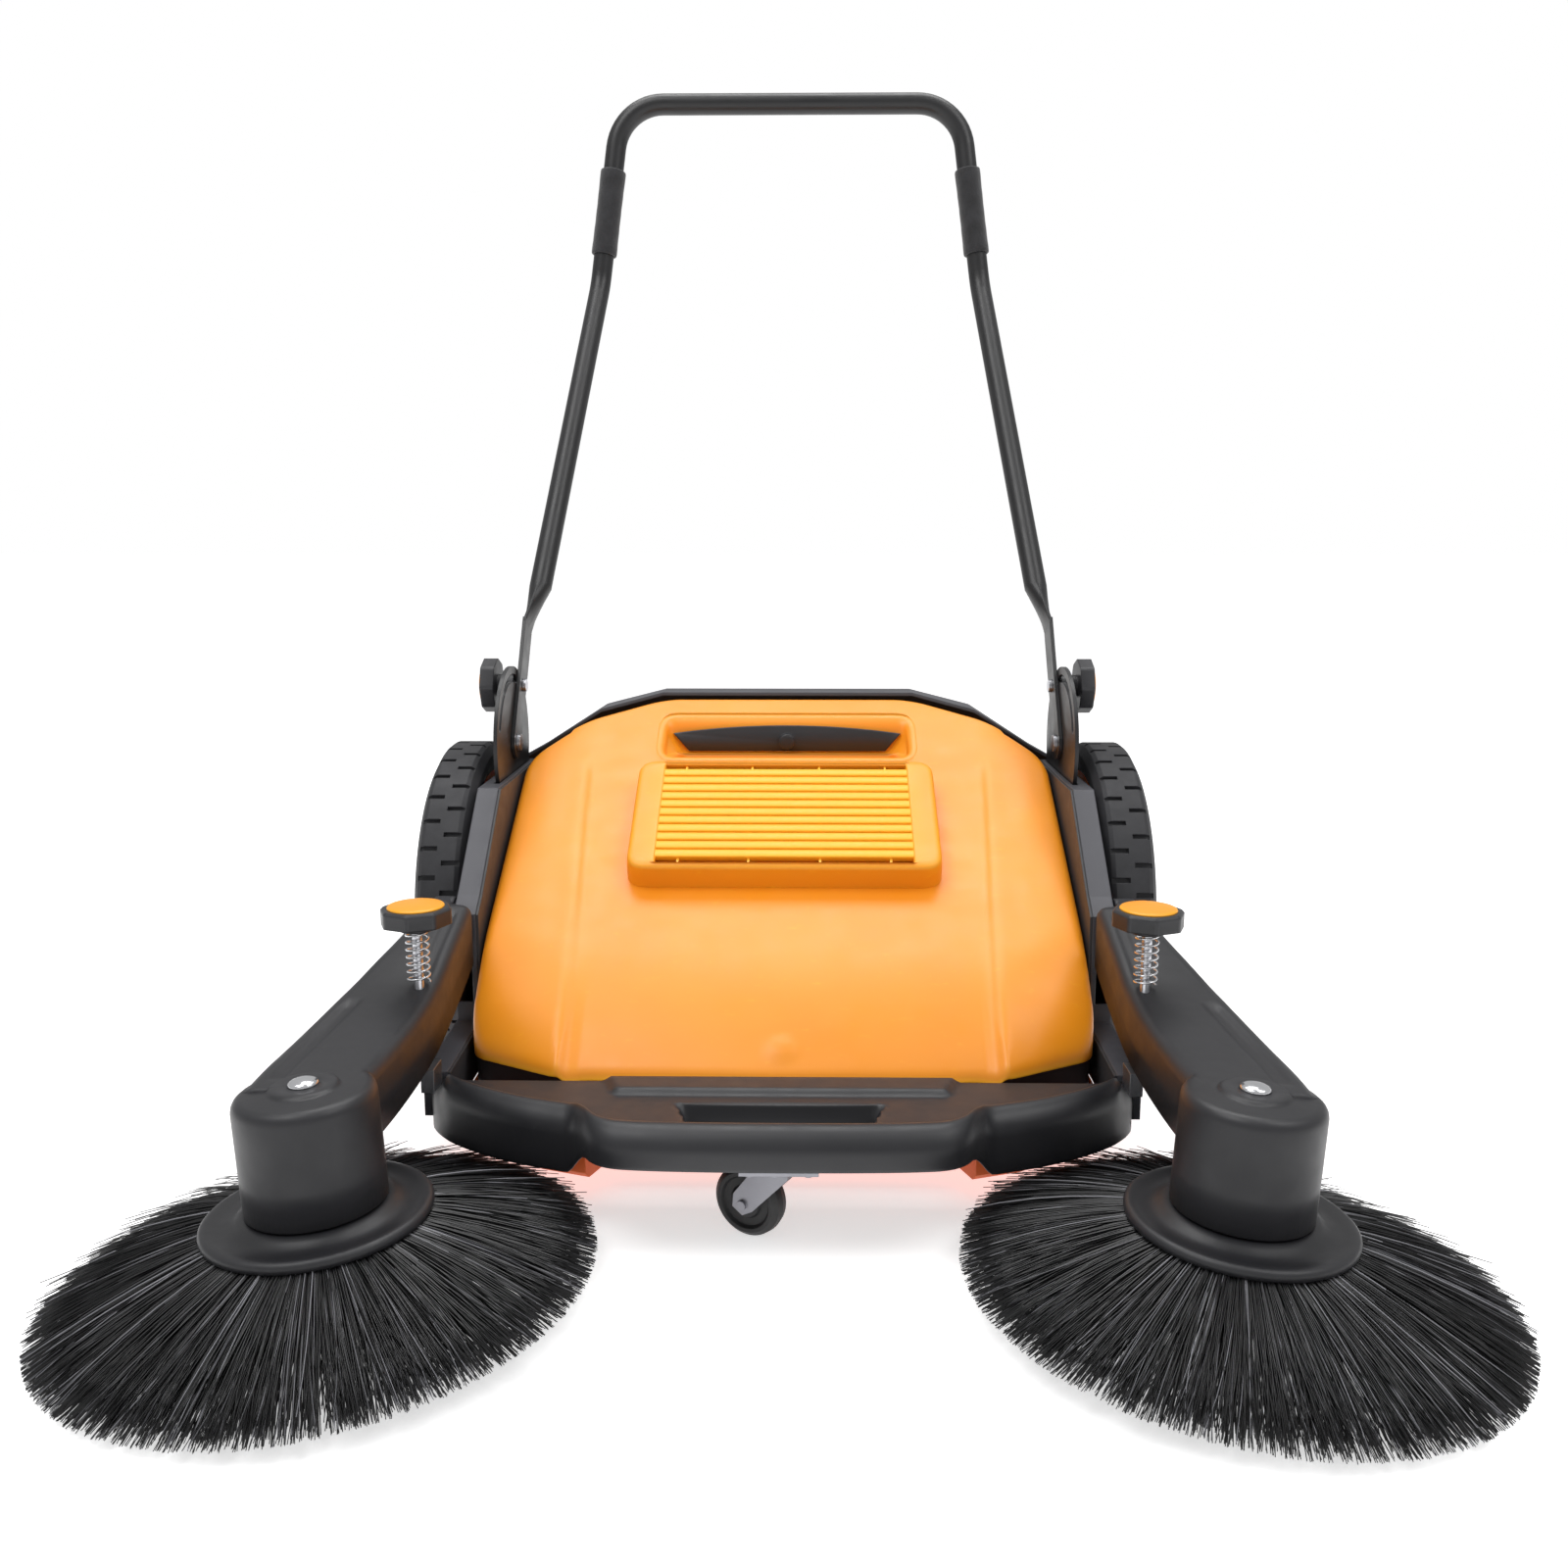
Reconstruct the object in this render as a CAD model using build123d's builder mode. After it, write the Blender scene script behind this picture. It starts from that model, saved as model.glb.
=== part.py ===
"""Walk-behind sweeper: two belt-driven side brushes, a roller and a lift-out hopper.

Millimetres. +Z is up, the machine faces -Y and the floor is Z = 0. The origin is the middle of the
floor footprint. Positions along the machine are given as distances ahead of the wheel axle.
"""
from build123d import *
import math
import os

os.makedirs("parts", exist_ok=True)

# ---------------------------------------------------------------- driving dimensions
wheel_radius = 168.0
wheel_width = 50.0
wheel_inner_x = 313.0
tube_radius = 12.5
tube_wall = 1.5
ring_radius = 200.0
brush_ahead = 522.0
bar_behind = 385.0
bar_height = 1088.0
wall = 3.0
running_gap = 0.05

axle_y = (brush_ahead + ring_radius - bar_behind - tube_radius) / 2
axle_z = wheel_radius
sides = ((-1, "left"), (1, "right"))


def ahead(distance):
    """Y of a point this far ahead of the wheel axle; negative is behind it."""
    return axle_y - distance


def side_plane(x, distance=0.0, height=0.0):
    """Plane facing +X whose local axes are Y and Z, with its origin off the axle."""
    return Plane((x, ahead(distance), height), x_dir=(0, 1, 0), z_dir=(1, 0, 0))


def radial_plane(distance, height):
    """Plane through an axis that runs along X: local x is X, local y is radius."""
    return Plane((0, ahead(distance), height), x_dir=(1, 0, 0), z_dir=(0, -1, 0))


def save(builder, node):
    """Label a finished piece and write it under its node's name."""
    builder.part.label = node
    export_step(builder.part, f"parts/{node}.step")


# ---------------------------------------------------------------- hopper hood
hood_half = 282.0
hood_rear = -110.0
hood_front = 333.5
hood_bend = 290.0
hood_rear_top = 372.0
hood_bend_top = 140.0
hood_bottom = 92.0
hood_back_bottom = 262.0
partition_ahead = 60.0
panel_half = 205.0
panel_sink = 4.0
panel_start = -26.0
shoulder_drop = 9.0
slope_run = hood_bend - hood_rear
slope = math.atan((hood_rear_top - hood_bend_top) / slope_run)
slope_sin, slope_cos = math.sin(slope), math.cos(slope)
slope_normal = (0, -slope_sin, slope_cos)


def slope_height(distance):
    """Height of the hood's main slope."""
    return hood_rear_top - (distance - hood_rear) * math.tan(slope)


def slope_plane(distance, lift=0.0):
    """Plane on the hood's slope: local x is X, local y climbs to the rear."""
    plane = Plane((0, ahead(distance), slope_height(distance)), x_dir=(1, 0, 0), z_dir=slope_normal)
    return plane.offset(lift)


def hood_form(inset):
    """The hood's outside form, or with an inset the space inside its wall, open below."""
    below = 20.0 if inset else 0.0
    with BuildPart() as form:
        with BuildSketch(Plane.YZ):
            with BuildLine():
                Polyline(
                    (ahead(hood_rear), hood_back_bottom - below), (ahead(hood_rear), hood_rear_top),
                    (ahead(hood_bend), hood_bend_top), (ahead(hood_front), hood_bottom + 4),
                    (ahead(hood_front), hood_bottom - below),
                    (ahead(partition_ahead), hood_bottom - below),
                    (ahead(partition_ahead), hood_back_bottom - below), close=True,
                )
            make_face()
            if inset:
                offset(amount=-inset, kind=Kind.INTERSECTION, mode=Mode.REPLACE)
        extrude(amount=hood_half - inset, both=True)
        # The centre panel lies a little below the shoulders, from the hand recess to the foot.
        sunk = panel_sink / slope_cos
        with BuildSketch(Plane.YZ):
            Polygon(
                (ahead(panel_start), slope_height(panel_start)),
                (ahead(panel_start + 26), slope_height(panel_start + 26) - sunk),
                (ahead(hood_bend - 4), slope_height(hood_bend - 4) - sunk),
                (ahead(hood_front - panel_sink), hood_bottom + 4),
                (ahead(hood_front - panel_sink), hood_bottom - 60),
                (ahead(hood_front + 60), hood_bottom - 60), (ahead(hood_front + 60), 460),
                (ahead(panel_start), 460), align=None,
            )
            if inset:
                offset(amount=inset, kind=Kind.INTERSECTION, mode=Mode.REPLACE)
        extrude(amount=panel_half + inset, both=True, mode=Mode.SUBTRACT)
        with BuildSketch(Plane.XY):
            Polygon(
                (-hood_half, ahead(284)), (-195, ahead(hood_front)), (195, ahead(hood_front)),
                (hood_half, ahead(284)), (hood_half, ahead(-28)), (226, ahead(-76)),
                (139, ahead(hood_rear)), (-139, ahead(hood_rear)), (-226, ahead(-76)),
                (-hood_half, ahead(-28)), align=None,
            )
            fillet(vertices(), radius=24)
            if inset:
                offset(amount=-inset, mode=Mode.REPLACE)
        extrude(amount=500, mode=Mode.INTERSECT)
        shoulder = Plane((0, ahead(hood_rear), hood_rear_top), x_dir=(1, 0, 0),
                         z_dir=(0, -slope_cos, -slope_sin))
        outer = hood_half - inset + 30
        fall = shoulder_drop / (hood_half - panel_half - 12)
        for side in (-1, 1):
            start = panel_half + 12
            with BuildSketch(shoulder):
                Polygon(
                    (side * start, -inset), (side * outer, -inset - fall * (outer - start)),
                    (side * outer, 60), (side * start, 60), align=None,
                )
            extrude(amount=600, both=True, mode=Mode.SUBTRACT)
    return form.part


pocket_half = 115.0
pocket_flare = 0.8
pocket_rear = -72.0
pocket_front = -24.0
pocket_mid = (pocket_rear + pocket_front) / 2
pocket_run = pocket_front - pocket_rear
pocket_floor = 314.0
grille_length = 166.0
grille_width = 310.0
grille_height = 27.0
grille_ahead = 80.0
vent_ahead = 59.0
filter_depth = 24.0
window_width = 262.0
window_length = 112.0



def pocket_form(grow):
    """The hand recess's space, with ends that flare upwards, or with a grow the tub round it."""
    with BuildPart() as form:
        for rise in (0.0, 60.0):
            half = pocket_half + pocket_flare * rise + grow
            with BuildSketch(Plane.XY.offset(pocket_floor - grow + rise)):
                with Locations((0, ahead(pocket_mid))):
                    RectangleRounded(2 * half, pocket_run + 2 * grow, 10)
        loft()
    return form.part


with BuildPart() as tub:
    add(pocket_form(wall))
    add(hood_form(0), mode=Mode.INTERSECT)

with BuildPart() as hood:
    add(hood_form(0))
    add(hood_form(wall), mode=Mode.SUBTRACT)
    # Mouth above the bin through the partition.
    with Locations((0, ahead(partition_ahead), 120)):
        Box(2 * (hood_half - 14), 12, 64, mode=Mode.SUBTRACT)
    # Hand recess: a tub let into the hood.
    add(tub.part)
    add(pocket_form(0), mode=Mode.SUBTRACT)
    # Vent window under the grille.
    with BuildSketch(slope_plane(vent_ahead)):
        RectangleRounded(window_width, window_length, 8)
    extrude(amount=-12, mode=Mode.SUBTRACT)
    # Room for the filter through the top of the partition.
    with BuildSketch(slope_plane(vent_ahead, -panel_sink - wall)):
        Rectangle(window_width + 16, window_length + 16)
    extrude(amount=-filter_depth - 1, mode=Mode.SUBTRACT)
save(hood, "hopper_hood")

# ---------------------------------------------------------------- hopper fittings
louvre_count = 12
louvre_pitch = 12.4
grille_base = slope_plane(grille_ahead, -panel_sink)
with BuildPart() as grille:
    with BuildSketch(grille_base):
        RectangleRounded(grille_width, grille_length, 20)
    extrude(amount=grille_height, taper=2)
    fillet(grille.faces().sort_by(Axis((0, 0, 0), slope_normal))[-1].edges(), radius=4)
    with BuildSketch(grille_base):
        RectangleRounded(grille_width - 8, grille_length - 8, 16)
    extrude(amount=grille_height - 4, taper=2, mode=Mode.SUBTRACT)
    with BuildSketch(grille_base):
        with GridLocations(0, louvre_pitch, 1, louvre_count):
            SlotOverall(248, 4)
    extrude(amount=grille_height + 4, mode=Mode.SUBTRACT)
    # Ties under the slats.
    with BuildSketch(grille_base.offset(grille_height - 7)):
        with GridLocations(66, 0, 4, 1):
            Rectangle(4, grille_length - 14)
    extrude(amount=4)
save(grille, "vent_grille")

with BuildPart() as filter_box:
    filter_top = slope_plane(vent_ahead, -panel_sink - wall - 0.3)
    with BuildSketch(filter_top):
        Rectangle(window_width + 14, window_length + 14)
    extrude(amount=-filter_depth)
    with BuildSketch(filter_top):
        with GridLocations(12, 0, 21, 1):
            Rectangle(6, window_length - 4)
    extrude(amount=-filter_depth + 5, mode=Mode.SUBTRACT)
save(filter_box, "hopper_filter")

bin_half = 278.7
bin_floor = 28.0
bin_top = 100.0
bin_front = 288.0
bin_back = 66.0
with BuildPart() as dust_bin:
    with Locations((0, ahead((bin_front + bin_back) / 2), (bin_floor + bin_top) / 2)):
        Box(2 * bin_half, bin_front - bin_back, bin_top - bin_floor)
    fillet(dust_bin.edges().filter_by(Axis.Z).group_by(Axis.Y)[0], radius=24)
    offset(amount=-wall, openings=dust_bin.faces().sort_by(Axis.Z)[-1])
    with Locations((0, ahead(bin_back), bin_top)):
        Box(2 * bin_half - 30, 14, 2 * (bin_top - bin_floor - 30), mode=Mode.SUBTRACT)
save(dust_bin, "hopper_bin")

with BuildPart() as seal:
    with BuildSketch(side_plane(-262, partition_ahead, 152)):
        with BuildLine():
            Polyline((0.3, 10), (4, 10), (6, -14), (3, -16), (0.3, 0), close=True)
        make_face()
    extrude(amount=524)
save(seal, "hopper_seal")

latch_pivot = -69.0
latch_z = pocket_floor + 5
latch_top = 337.0
latch_crown = 346.0
latch_half = 127.0
latch_foot_half = 110.0
with BuildPart() as latch:
    # Flap standing against the recess's rear wall, hinged along its foot, with an arched top.
    with BuildSketch(Plane.XZ.offset(-ahead(latch_pivot + 1.5))):
        with BuildLine():
            Polyline((latch_half, latch_top), (latch_foot_half, latch_z - 2),
                     (-latch_foot_half, latch_z - 2), (-latch_half, latch_top))
            ThreePointArc((-latch_half, latch_top), (0, latch_crown), (latch_half, latch_top))
        make_face()
    extrude(amount=-3)
    # Finger hook in the middle.
    with BuildSketch(side_plane(-9, latch_pivot, latch_z)):
        Polygon((0, 2), (0, 18), (-6, 19), (-11, 15), (-12, 9), (-9, 4), (-5, 2), align=None)
    extrude(amount=18)
    with BuildSketch(side_plane(-latch_foot_half, latch_pivot, latch_z)):
        Circle(2.2)
    extrude(amount=2 * latch_foot_half)
save(latch, "hopper_latch")

# ---------------------------------------------------------------- wheels, axle and drive
tyre_inner_radius = 138.0
sleeve_radius = 16.0
axle_radius = 8.0
tread_depth = 4.0
tread_count = 36
wheel_mid_x = wheel_inner_x + wheel_width / 2
wheel_outer_x = wheel_inner_x + wheel_width
gear_module = 3.0
gear_teeth = 48
pinion_teeth = 19
roller_ahead = -45.0
centre_distance = gear_module * (gear_teeth + pinion_teeth) / 2
roller_z = axle_z - math.sqrt(centre_distance ** 2 - roller_ahead ** 2)
gear_x = -292.75
gear_width = 5.5
pulley_x = 301.0
belt_line_radius = 40.0
belt_radius = 2.5
wheel_axis = Axis((0, ahead(0), axle_z), (1, 0, 0))
roller_axis = Axis((0, ahead(roller_ahead), roller_z), (1, 0, 0))


def revolve_ring(points, axis, plane):
    """One turned ring from the corner points of its section."""
    with BuildPart() as ring:
        with BuildSketch(plane):
            with BuildLine():
                Polyline(*points, close=True)
            make_face()
        revolve(axis=axis)
    return ring.part


for side, tag in sides:
    half = wheel_width / 2
    centre = side * wheel_mid_x
    section = [
        (centre - half + 3, tyre_inner_radius), (centre + half - 3, tyre_inner_radius),
        (centre + half, tyre_inner_radius + 10), (centre + half, wheel_radius - 12),
        (centre + half - 5, wheel_radius - 3), (centre + half - 9, wheel_radius),
        (centre - half + 9, wheel_radius), (centre - half + 5, wheel_radius - 3),
        (centre - half, wheel_radius - 12), (centre - half, tyre_inner_radius + 10),
    ]
    with BuildPart() as tyre:
        add(revolve_ring(section, wheel_axis, radial_plane(0, axle_z)))
        for row, phase in ((-1, 0.0), (1, 0.5)):
            row_plane = side_plane(centre + row * 11, 0, axle_z)
            with BuildSketch(row_plane):
                with PolarLocations(wheel_radius, tread_count, start_angle=phase * 360 / tread_count):
                    Rectangle(2 * tread_depth, 5)
            extrude(amount=8.5, both=True, mode=Mode.SUBTRACT)
    save(tyre, f"tyre_{tag}")

    face = side * wheel_outer_x
    inner_end = side * (290.0 if side < 0 else 296.5)
    with BuildPart() as hub:
        rim = [
            (centre - 22, 128), (centre + 22, 128), (centre + 22, tyre_inner_radius),
            (centre - 22, tyre_inner_radius),
        ]
        add(revolve_ring(rim, wheel_axis, radial_plane(0, axle_z)))
        web = [
            (centre + side * 12, axle_radius + running_gap),
            (centre + side * 17, axle_radius + running_gap), (centre + side * 18, 26), (face + side * 7, 30), (face + side * 8, 50), (face + side * 7, 90),
            (face + side * 4, 118), (face - side * 0.5, 136), (centre + side * 20, 137),
            (centre + side * 19, 128), (face + side * 0.5, 114), (face + side * 3, 90),
            (face + side * 4, 50), (face + side * 3, 36), (centre + side * 12, 30),
        ]
        add(revolve_ring(web, wheel_axis, radial_plane(0, axle_z)))
        sleeve = [
            (inner_end, axle_radius + running_gap), (centre + side * 13, axle_radius + running_gap),
            (centre + side * 13, sleeve_radius), (inner_end, sleeve_radius),
        ]
        add(revolve_ring(sleeve, wheel_axis, radial_plane(0, axle_z)))
        with BuildSketch(side_plane(centre + side * 16, 0, axle_z)):
            with PolarLocations(77, 6):
                Rectangle(118, 4)
            Circle(24)
            Circle(sleeve_radius - 1, mode=Mode.SUBTRACT)
        extrude(amount=-side * 32)
    save(hub, f"wheel_hub_{tag}")

    groove = side * pulley_x
    with BuildPart() as pulley:
        sheave = [
            (groove - 4, sleeve_radius), (groove + 4, sleeve_radius), (groove + 4, 42.5),
            (groove + 3.4, 42.5), (groove + 2.8, 37.1), (groove - 2.8, 37.1), (groove - 3.4, 42.5),
            (groove - 4, 42.5),
        ]
        add(revolve_ring(sheave, wheel_axis, radial_plane(0, axle_z)))
    save(pulley, f"drive_pulley_{tag}")


def gear_sketch(teeth, phase_deg):
    """Straight-sided spur gear outline in the current sketch."""
    pitch = gear_module * teeth / 2
    root, tip = pitch - 1.2 * gear_module, pitch + 0.8 * gear_module
    Circle(root)
    with PolarLocations(0, teeth, start_angle=phase_deg):
        Polygon((root - 1, -3.1), (pitch, -1.85), (tip, -0.9), (tip, 0.9), (pitch, 1.85),
                (root - 1, 3.1), align=None)


mesh_angle = math.degrees(math.atan2(roller_z - axle_z, -roller_ahead))
with BuildPart() as gear:
    with BuildSketch(side_plane(gear_x - gear_width / 2, 0, axle_z)):
        gear_sketch(gear_teeth, mesh_angle)
        with PolarLocations(46, 6):
            Circle(13, mode=Mode.SUBTRACT)
        Circle(sleeve_radius, mode=Mode.SUBTRACT)
    extrude(amount=gear_width)
save(gear, "drive_gear")

roller_shaft_radius = 7.0
with BuildPart() as pinion:
    with BuildSketch(side_plane(gear_x - gear_width / 2, roller_ahead, roller_z)):
        gear_sketch(pinion_teeth, mesh_angle + 180 + 180 / pinion_teeth)
        Circle(roller_shaft_radius, mode=Mode.SUBTRACT)
    extrude(amount=gear_width)
save(pinion, "roller_pinion")

roller_half = 276.0
core_radius = 30.0
roller_radius = 74.0
with BuildPart() as core:
    with BuildSketch(side_plane(-roller_half, roller_ahead, roller_z)):
        Circle(core_radius)
    extrude(amount=2 * roller_half)
    with BuildSketch(side_plane(-298, roller_ahead, roller_z)):
        Circle(roller_shaft_radius)
    extrude(amount=298 * 2)
save(core, "roller_core")

row_count = 6
with BuildPart() as tufts:
    with BuildSketch(side_plane(-roller_half + 6, roller_ahead, roller_z)):
        with PolarLocations((core_radius + roller_radius) / 2, row_count):
            Rectangle(roller_radius - core_radius, 9)
        Circle(core_radius, mode=Mode.SUBTRACT)
    extrude(amount=2 * roller_half - 12)
save(tufts, "roller_bristles")

with BuildPart() as axle:
    with BuildSketch(side_plane(-wheel_outer_x - 2, 0, axle_z)):
        Circle(axle_radius)
    extrude(amount=2 * wheel_outer_x + 4)
    for side in (-1, 1):
        with BuildSketch(side_plane(side * (wheel_mid_x + 18), 0, axle_z)):
            RegularPolygon(13, 6)
        extrude(amount=side * 7)
save(axle, "wheel_axle")

# ---------------------------------------------------------------- side panels and bearings
panel_in, panel_out = 288.0, 309.0
panel_top = 304.0
panel_wall = 3.0
arm_pivot_ahead = 200.0
arm_pivot_z = 205.0
with BuildPart() as bearings:
    for side in (-1, 1):
        with BuildSketch(side_plane(side * (panel_out - 4), 0, axle_z)):
            Circle(23)
            Circle(sleeve_radius + running_gap, mode=Mode.SUBTRACT)
        extrude(amount=side * 5.5)
        with BuildSketch(side_plane(side * (panel_out - 8), roller_ahead, roller_z)):
            Circle(14)
            Circle(roller_shaft_radius + running_gap, mode=Mode.SUBTRACT)
        extrude(amount=side * 5)
save(bearings, "shaft_bearings")


def panel_outline(grow):
    """Side view of a side panel, grown or shrunk by an amount."""
    with BuildSketch() as outline:
        Polygon(
            (-95, 38), (-95, panel_top), (100, panel_top), (arm_pivot_ahead - 4, arm_pivot_z + 14),
            (arm_pivot_ahead + 16, arm_pivot_z), (arm_pivot_ahead + 16, 102), (336, 98), (336, 58),
            (40, 58), (20, 38), align=None,
        )
        if grow:
            offset(amount=grow, kind=Kind.INTERSECTION, mode=Mode.REPLACE)
    return outline.sketch


def panel_plane(side, x):
    """Plane facing -X whose local x runs forward from the axle and local y is height."""
    return Plane((side * x, ahead(0), 0), x_dir=(0, -1, 0), z_dir=(-1, 0, 0))


bracket_in, bracket_out = 294.3, 298.3
handle_pivot = -10.0
handle_pivot_z = 335.0
handle_lean = math.radians(33.8)
clamp_distance = 69.5
quadrant_radius = 82.0
clamp_ahead = handle_pivot - clamp_distance * math.sin(handle_lean)
clamp_z = handle_pivot_z + clamp_distance * math.cos(handle_lean)

for side, tag in sides:
    with BuildPart() as panel:
        with BuildSketch(panel_plane(side, panel_in)):
            add(panel_outline(0))
        extrude(amount=-side * (panel_out - panel_in))
        with BuildSketch(panel_plane(side, panel_in)):
            add(panel_outline(-panel_wall))
        extrude(amount=-side * (panel_out - panel_in - panel_wall), mode=Mode.SUBTRACT)
        with BuildSketch(side_plane(side * panel_in, 0, axle_z)):
            Circle(23)
        extrude(amount=side * 40, mode=Mode.SUBTRACT)
        # Slot in the top wall for the handle quadrant, and the belt's way out to the arm.
        with Locations((side * (bracket_in + bracket_out) / 2, ahead(handle_pivot), panel_top)):
            Box(bracket_out - bracket_in + 2, 2 * quadrant_radius, 12, mode=Mode.SUBTRACT)
        with Locations((side * 300, ahead(arm_pivot_ahead + 16), 158)):
            Box(14, 12, 76, mode=Mode.SUBTRACT)
        with BuildSketch(side_plane(side * panel_in, arm_pivot_ahead, arm_pivot_z)):
            Circle(6)
        extrude(amount=side * 40, mode=Mode.SUBTRACT)
        # Stiffening ribs on the outer face ahead of the wheel.
        with Locations((side * (panel_out + 1), ahead(250), 80)):
            Box(2, 150, 6)
    save(panel, f"side_panel_{tag}")

with BuildPart() as covers:
    for side in (-1, 1):
        with BuildSketch(panel_plane(side, panel_in)):
            add(panel_outline(-1))
        extrude(amount=side * 2.4)
        with BuildSketch(side_plane(side * (panel_in - 10), 0, axle_z)):
            Circle(axle_radius)
        extrude(amount=side * 20, mode=Mode.SUBTRACT)
        with BuildSketch(side_plane(side * (panel_in - 10), roller_ahead, roller_z)):
            Circle(roller_shaft_radius + 1)
        extrude(amount=side * 20, mode=Mode.SUBTRACT)
save(covers, "belt_covers")

with BuildPart() as brackets:
    for side in (-1, 1):
        middle = side * bracket_in
        with BuildSketch(side_plane(middle, handle_pivot, handle_pivot_z)):
            Circle(quadrant_radius)
            with Locations((0, -68)):
                Rectangle(110, 30)
            Circle(5, mode=Mode.SUBTRACT)
        extrude(amount=side * (bracket_out - bracket_in))
        with BuildSketch(side_plane(middle, handle_pivot, handle_pivot_z)):
            with BuildLine():
                CenterArc((0, 0), clamp_distance, 44, 116)
            trace(line_width=8.6)
            for end_angle in (44, 160):
                with Locations((clamp_distance * math.cos(math.radians(end_angle)),
                                clamp_distance * math.sin(math.radians(end_angle)))):
                    Circle(4.3)
        extrude(amount=side * (bracket_out - bracket_in), mode=Mode.SUBTRACT)
save(brackets, "handle_quadrants")

# ---------------------------------------------------------------- rear deck and flap
deck_wall = 4.0


def deck_form(inset):
    """Rear deck outside form, or the space inside it when inset, open in front and below."""
    below = 20.0 if inset else 0.0
    front = -90.0 if inset else -96.0
    with BuildPart() as form:
        with BuildSketch(Plane.XY.offset(58 - below)):
            Polygon(
                (-panel_out + inset, ahead(front)), (-panel_out + inset, ahead(inset - 105)),
                (inset - 268, ahead(inset - 130)), (-206, ahead(inset - 151)),
                (-139, ahead(inset - 158)), (139, ahead(inset - 158)), (206, ahead(inset - 151)),
                (268 - inset, ahead(inset - 130)), (panel_out - inset, ahead(inset - 105)),
                (panel_out - inset, ahead(front)), align=None,
            )
        extrude(amount=360)
        with BuildSketch(Plane.XZ.offset(-ahead(-40))):
            Polygon(
                (-panel_out, 58 - below), (-panel_out, 303 - inset), (-277, 320 - inset),
                (-212, 361 - inset), (-143, 378 - inset), (143, 378 - inset), (212, 361 - inset),
                (277, 320 - inset), (panel_out, 303 - inset), (panel_out, 58 - below), align=None,
            )
        extrude(amount=-200, mode=Mode.INTERSECT)
    return form.part


with BuildPart() as deck:
    add(deck_form(0))
    # The hopper hood's bay.
    with BuildSketch(Plane.XY.offset(264)):
        Polygon(
            (-286, ahead(-90)), (-236, ahead(-90)), (-143, ahead(-115)), (143, ahead(-115)),
            (236, ahead(-90)), (286, ahead(-90)), align=None,
        )
    extrude(amount=140, mode=Mode.SUBTRACT)
    add(deck_form(deck_wall), mode=Mode.SUBTRACT)
    # Stiffening ribs down the back.
    with Locations((0, ahead(-159), 190)):
        with GridLocations(60, 0, 5, 1):
            Box(10, 4, 190)
save(deck, "rear_deck")

with BuildPart() as flap:
    with Locations((0, ahead(-123), 62)):
        Box(500, 3, 110)
save(flap, "rear_flap")

# ---------------------------------------------------------------- floor pan and front bumper
pan_half = 285.4
pan_floor = 22.0
pan_top = 58.0
bay_half = 150.0
with BuildPart() as pan:
    with BuildSketch(Plane.XY.offset(pan_floor)) as pan_plan:
        Polygon(
            (-pan_half, ahead(50)), (pan_half, ahead(50)), (pan_half, ahead(311)),
            (236, ahead(339)), (186, ahead(375)), (bay_half + 13, ahead(383)),
            (bay_half - 4, ahead(340)), (4 - bay_half, ahead(340)), (-bay_half - 13, ahead(383)),
            (-186, ahead(375)), (-236, ahead(339)), (-pan_half, ahead(311)), align=None,
        )
    extrude(amount=pan_top - pan_floor)
    chamfer(pan.faces().sort_by(Axis.Z)[0].edges().sort_by(Axis.Y)[:2], length=6)
    offset(amount=-wall, openings=pan.faces().sort_by(Axis.Z)[-1])
    with Locations((0, ahead(50), pan_top)):
        Box(2 * pan_half - 30, 12, 40, mode=Mode.SUBTRACT)
save(pan, "floor_pan")

bumper_top = 92.0
bumper_bottom = 60.0
bumper_wall = 4.0
block_bottom = 48.0
block_rim_top = 101.0
band_rim_top = 110.0
band_ahead = 480.0
bumper_back = 336.0


def bumper_plan(inset):
    """Plan of the bumper: swept-back end blocks and a middle band that stands forward."""
    half = ((300, bumper_back), (300, 345), (276, 374), (211, 413), (168, 428), (152, 470),
            (120, band_ahead))
    right = [(x, ahead(distance)) for x, distance in half]
    left = [(-x, y) for x, y in reversed(right)]
    with BuildSketch() as plan:
        Polygon(*right, *left, align=None)
        if inset:
            offset(amount=-inset, kind=Kind.INTERSECTION, mode=Mode.REPLACE)
    return plan.sketch


def bumper_rim(width, half):
    """Plan of the rim along the front edge, this wide and no further out than half."""
    with BuildSketch() as rim:
        add(bumper_plan(0))
        add(bumper_plan(width), mode=Mode.SUBTRACT)
        with Locations((0, ahead(bumper_back))):
            Rectangle(2 * (300 - width), 30, mode=Mode.SUBTRACT)
        with Locations((0, ahead(440))):
            Rectangle(2 * half, 240, mode=Mode.INTERSECT)
    return rim.sketch


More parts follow.
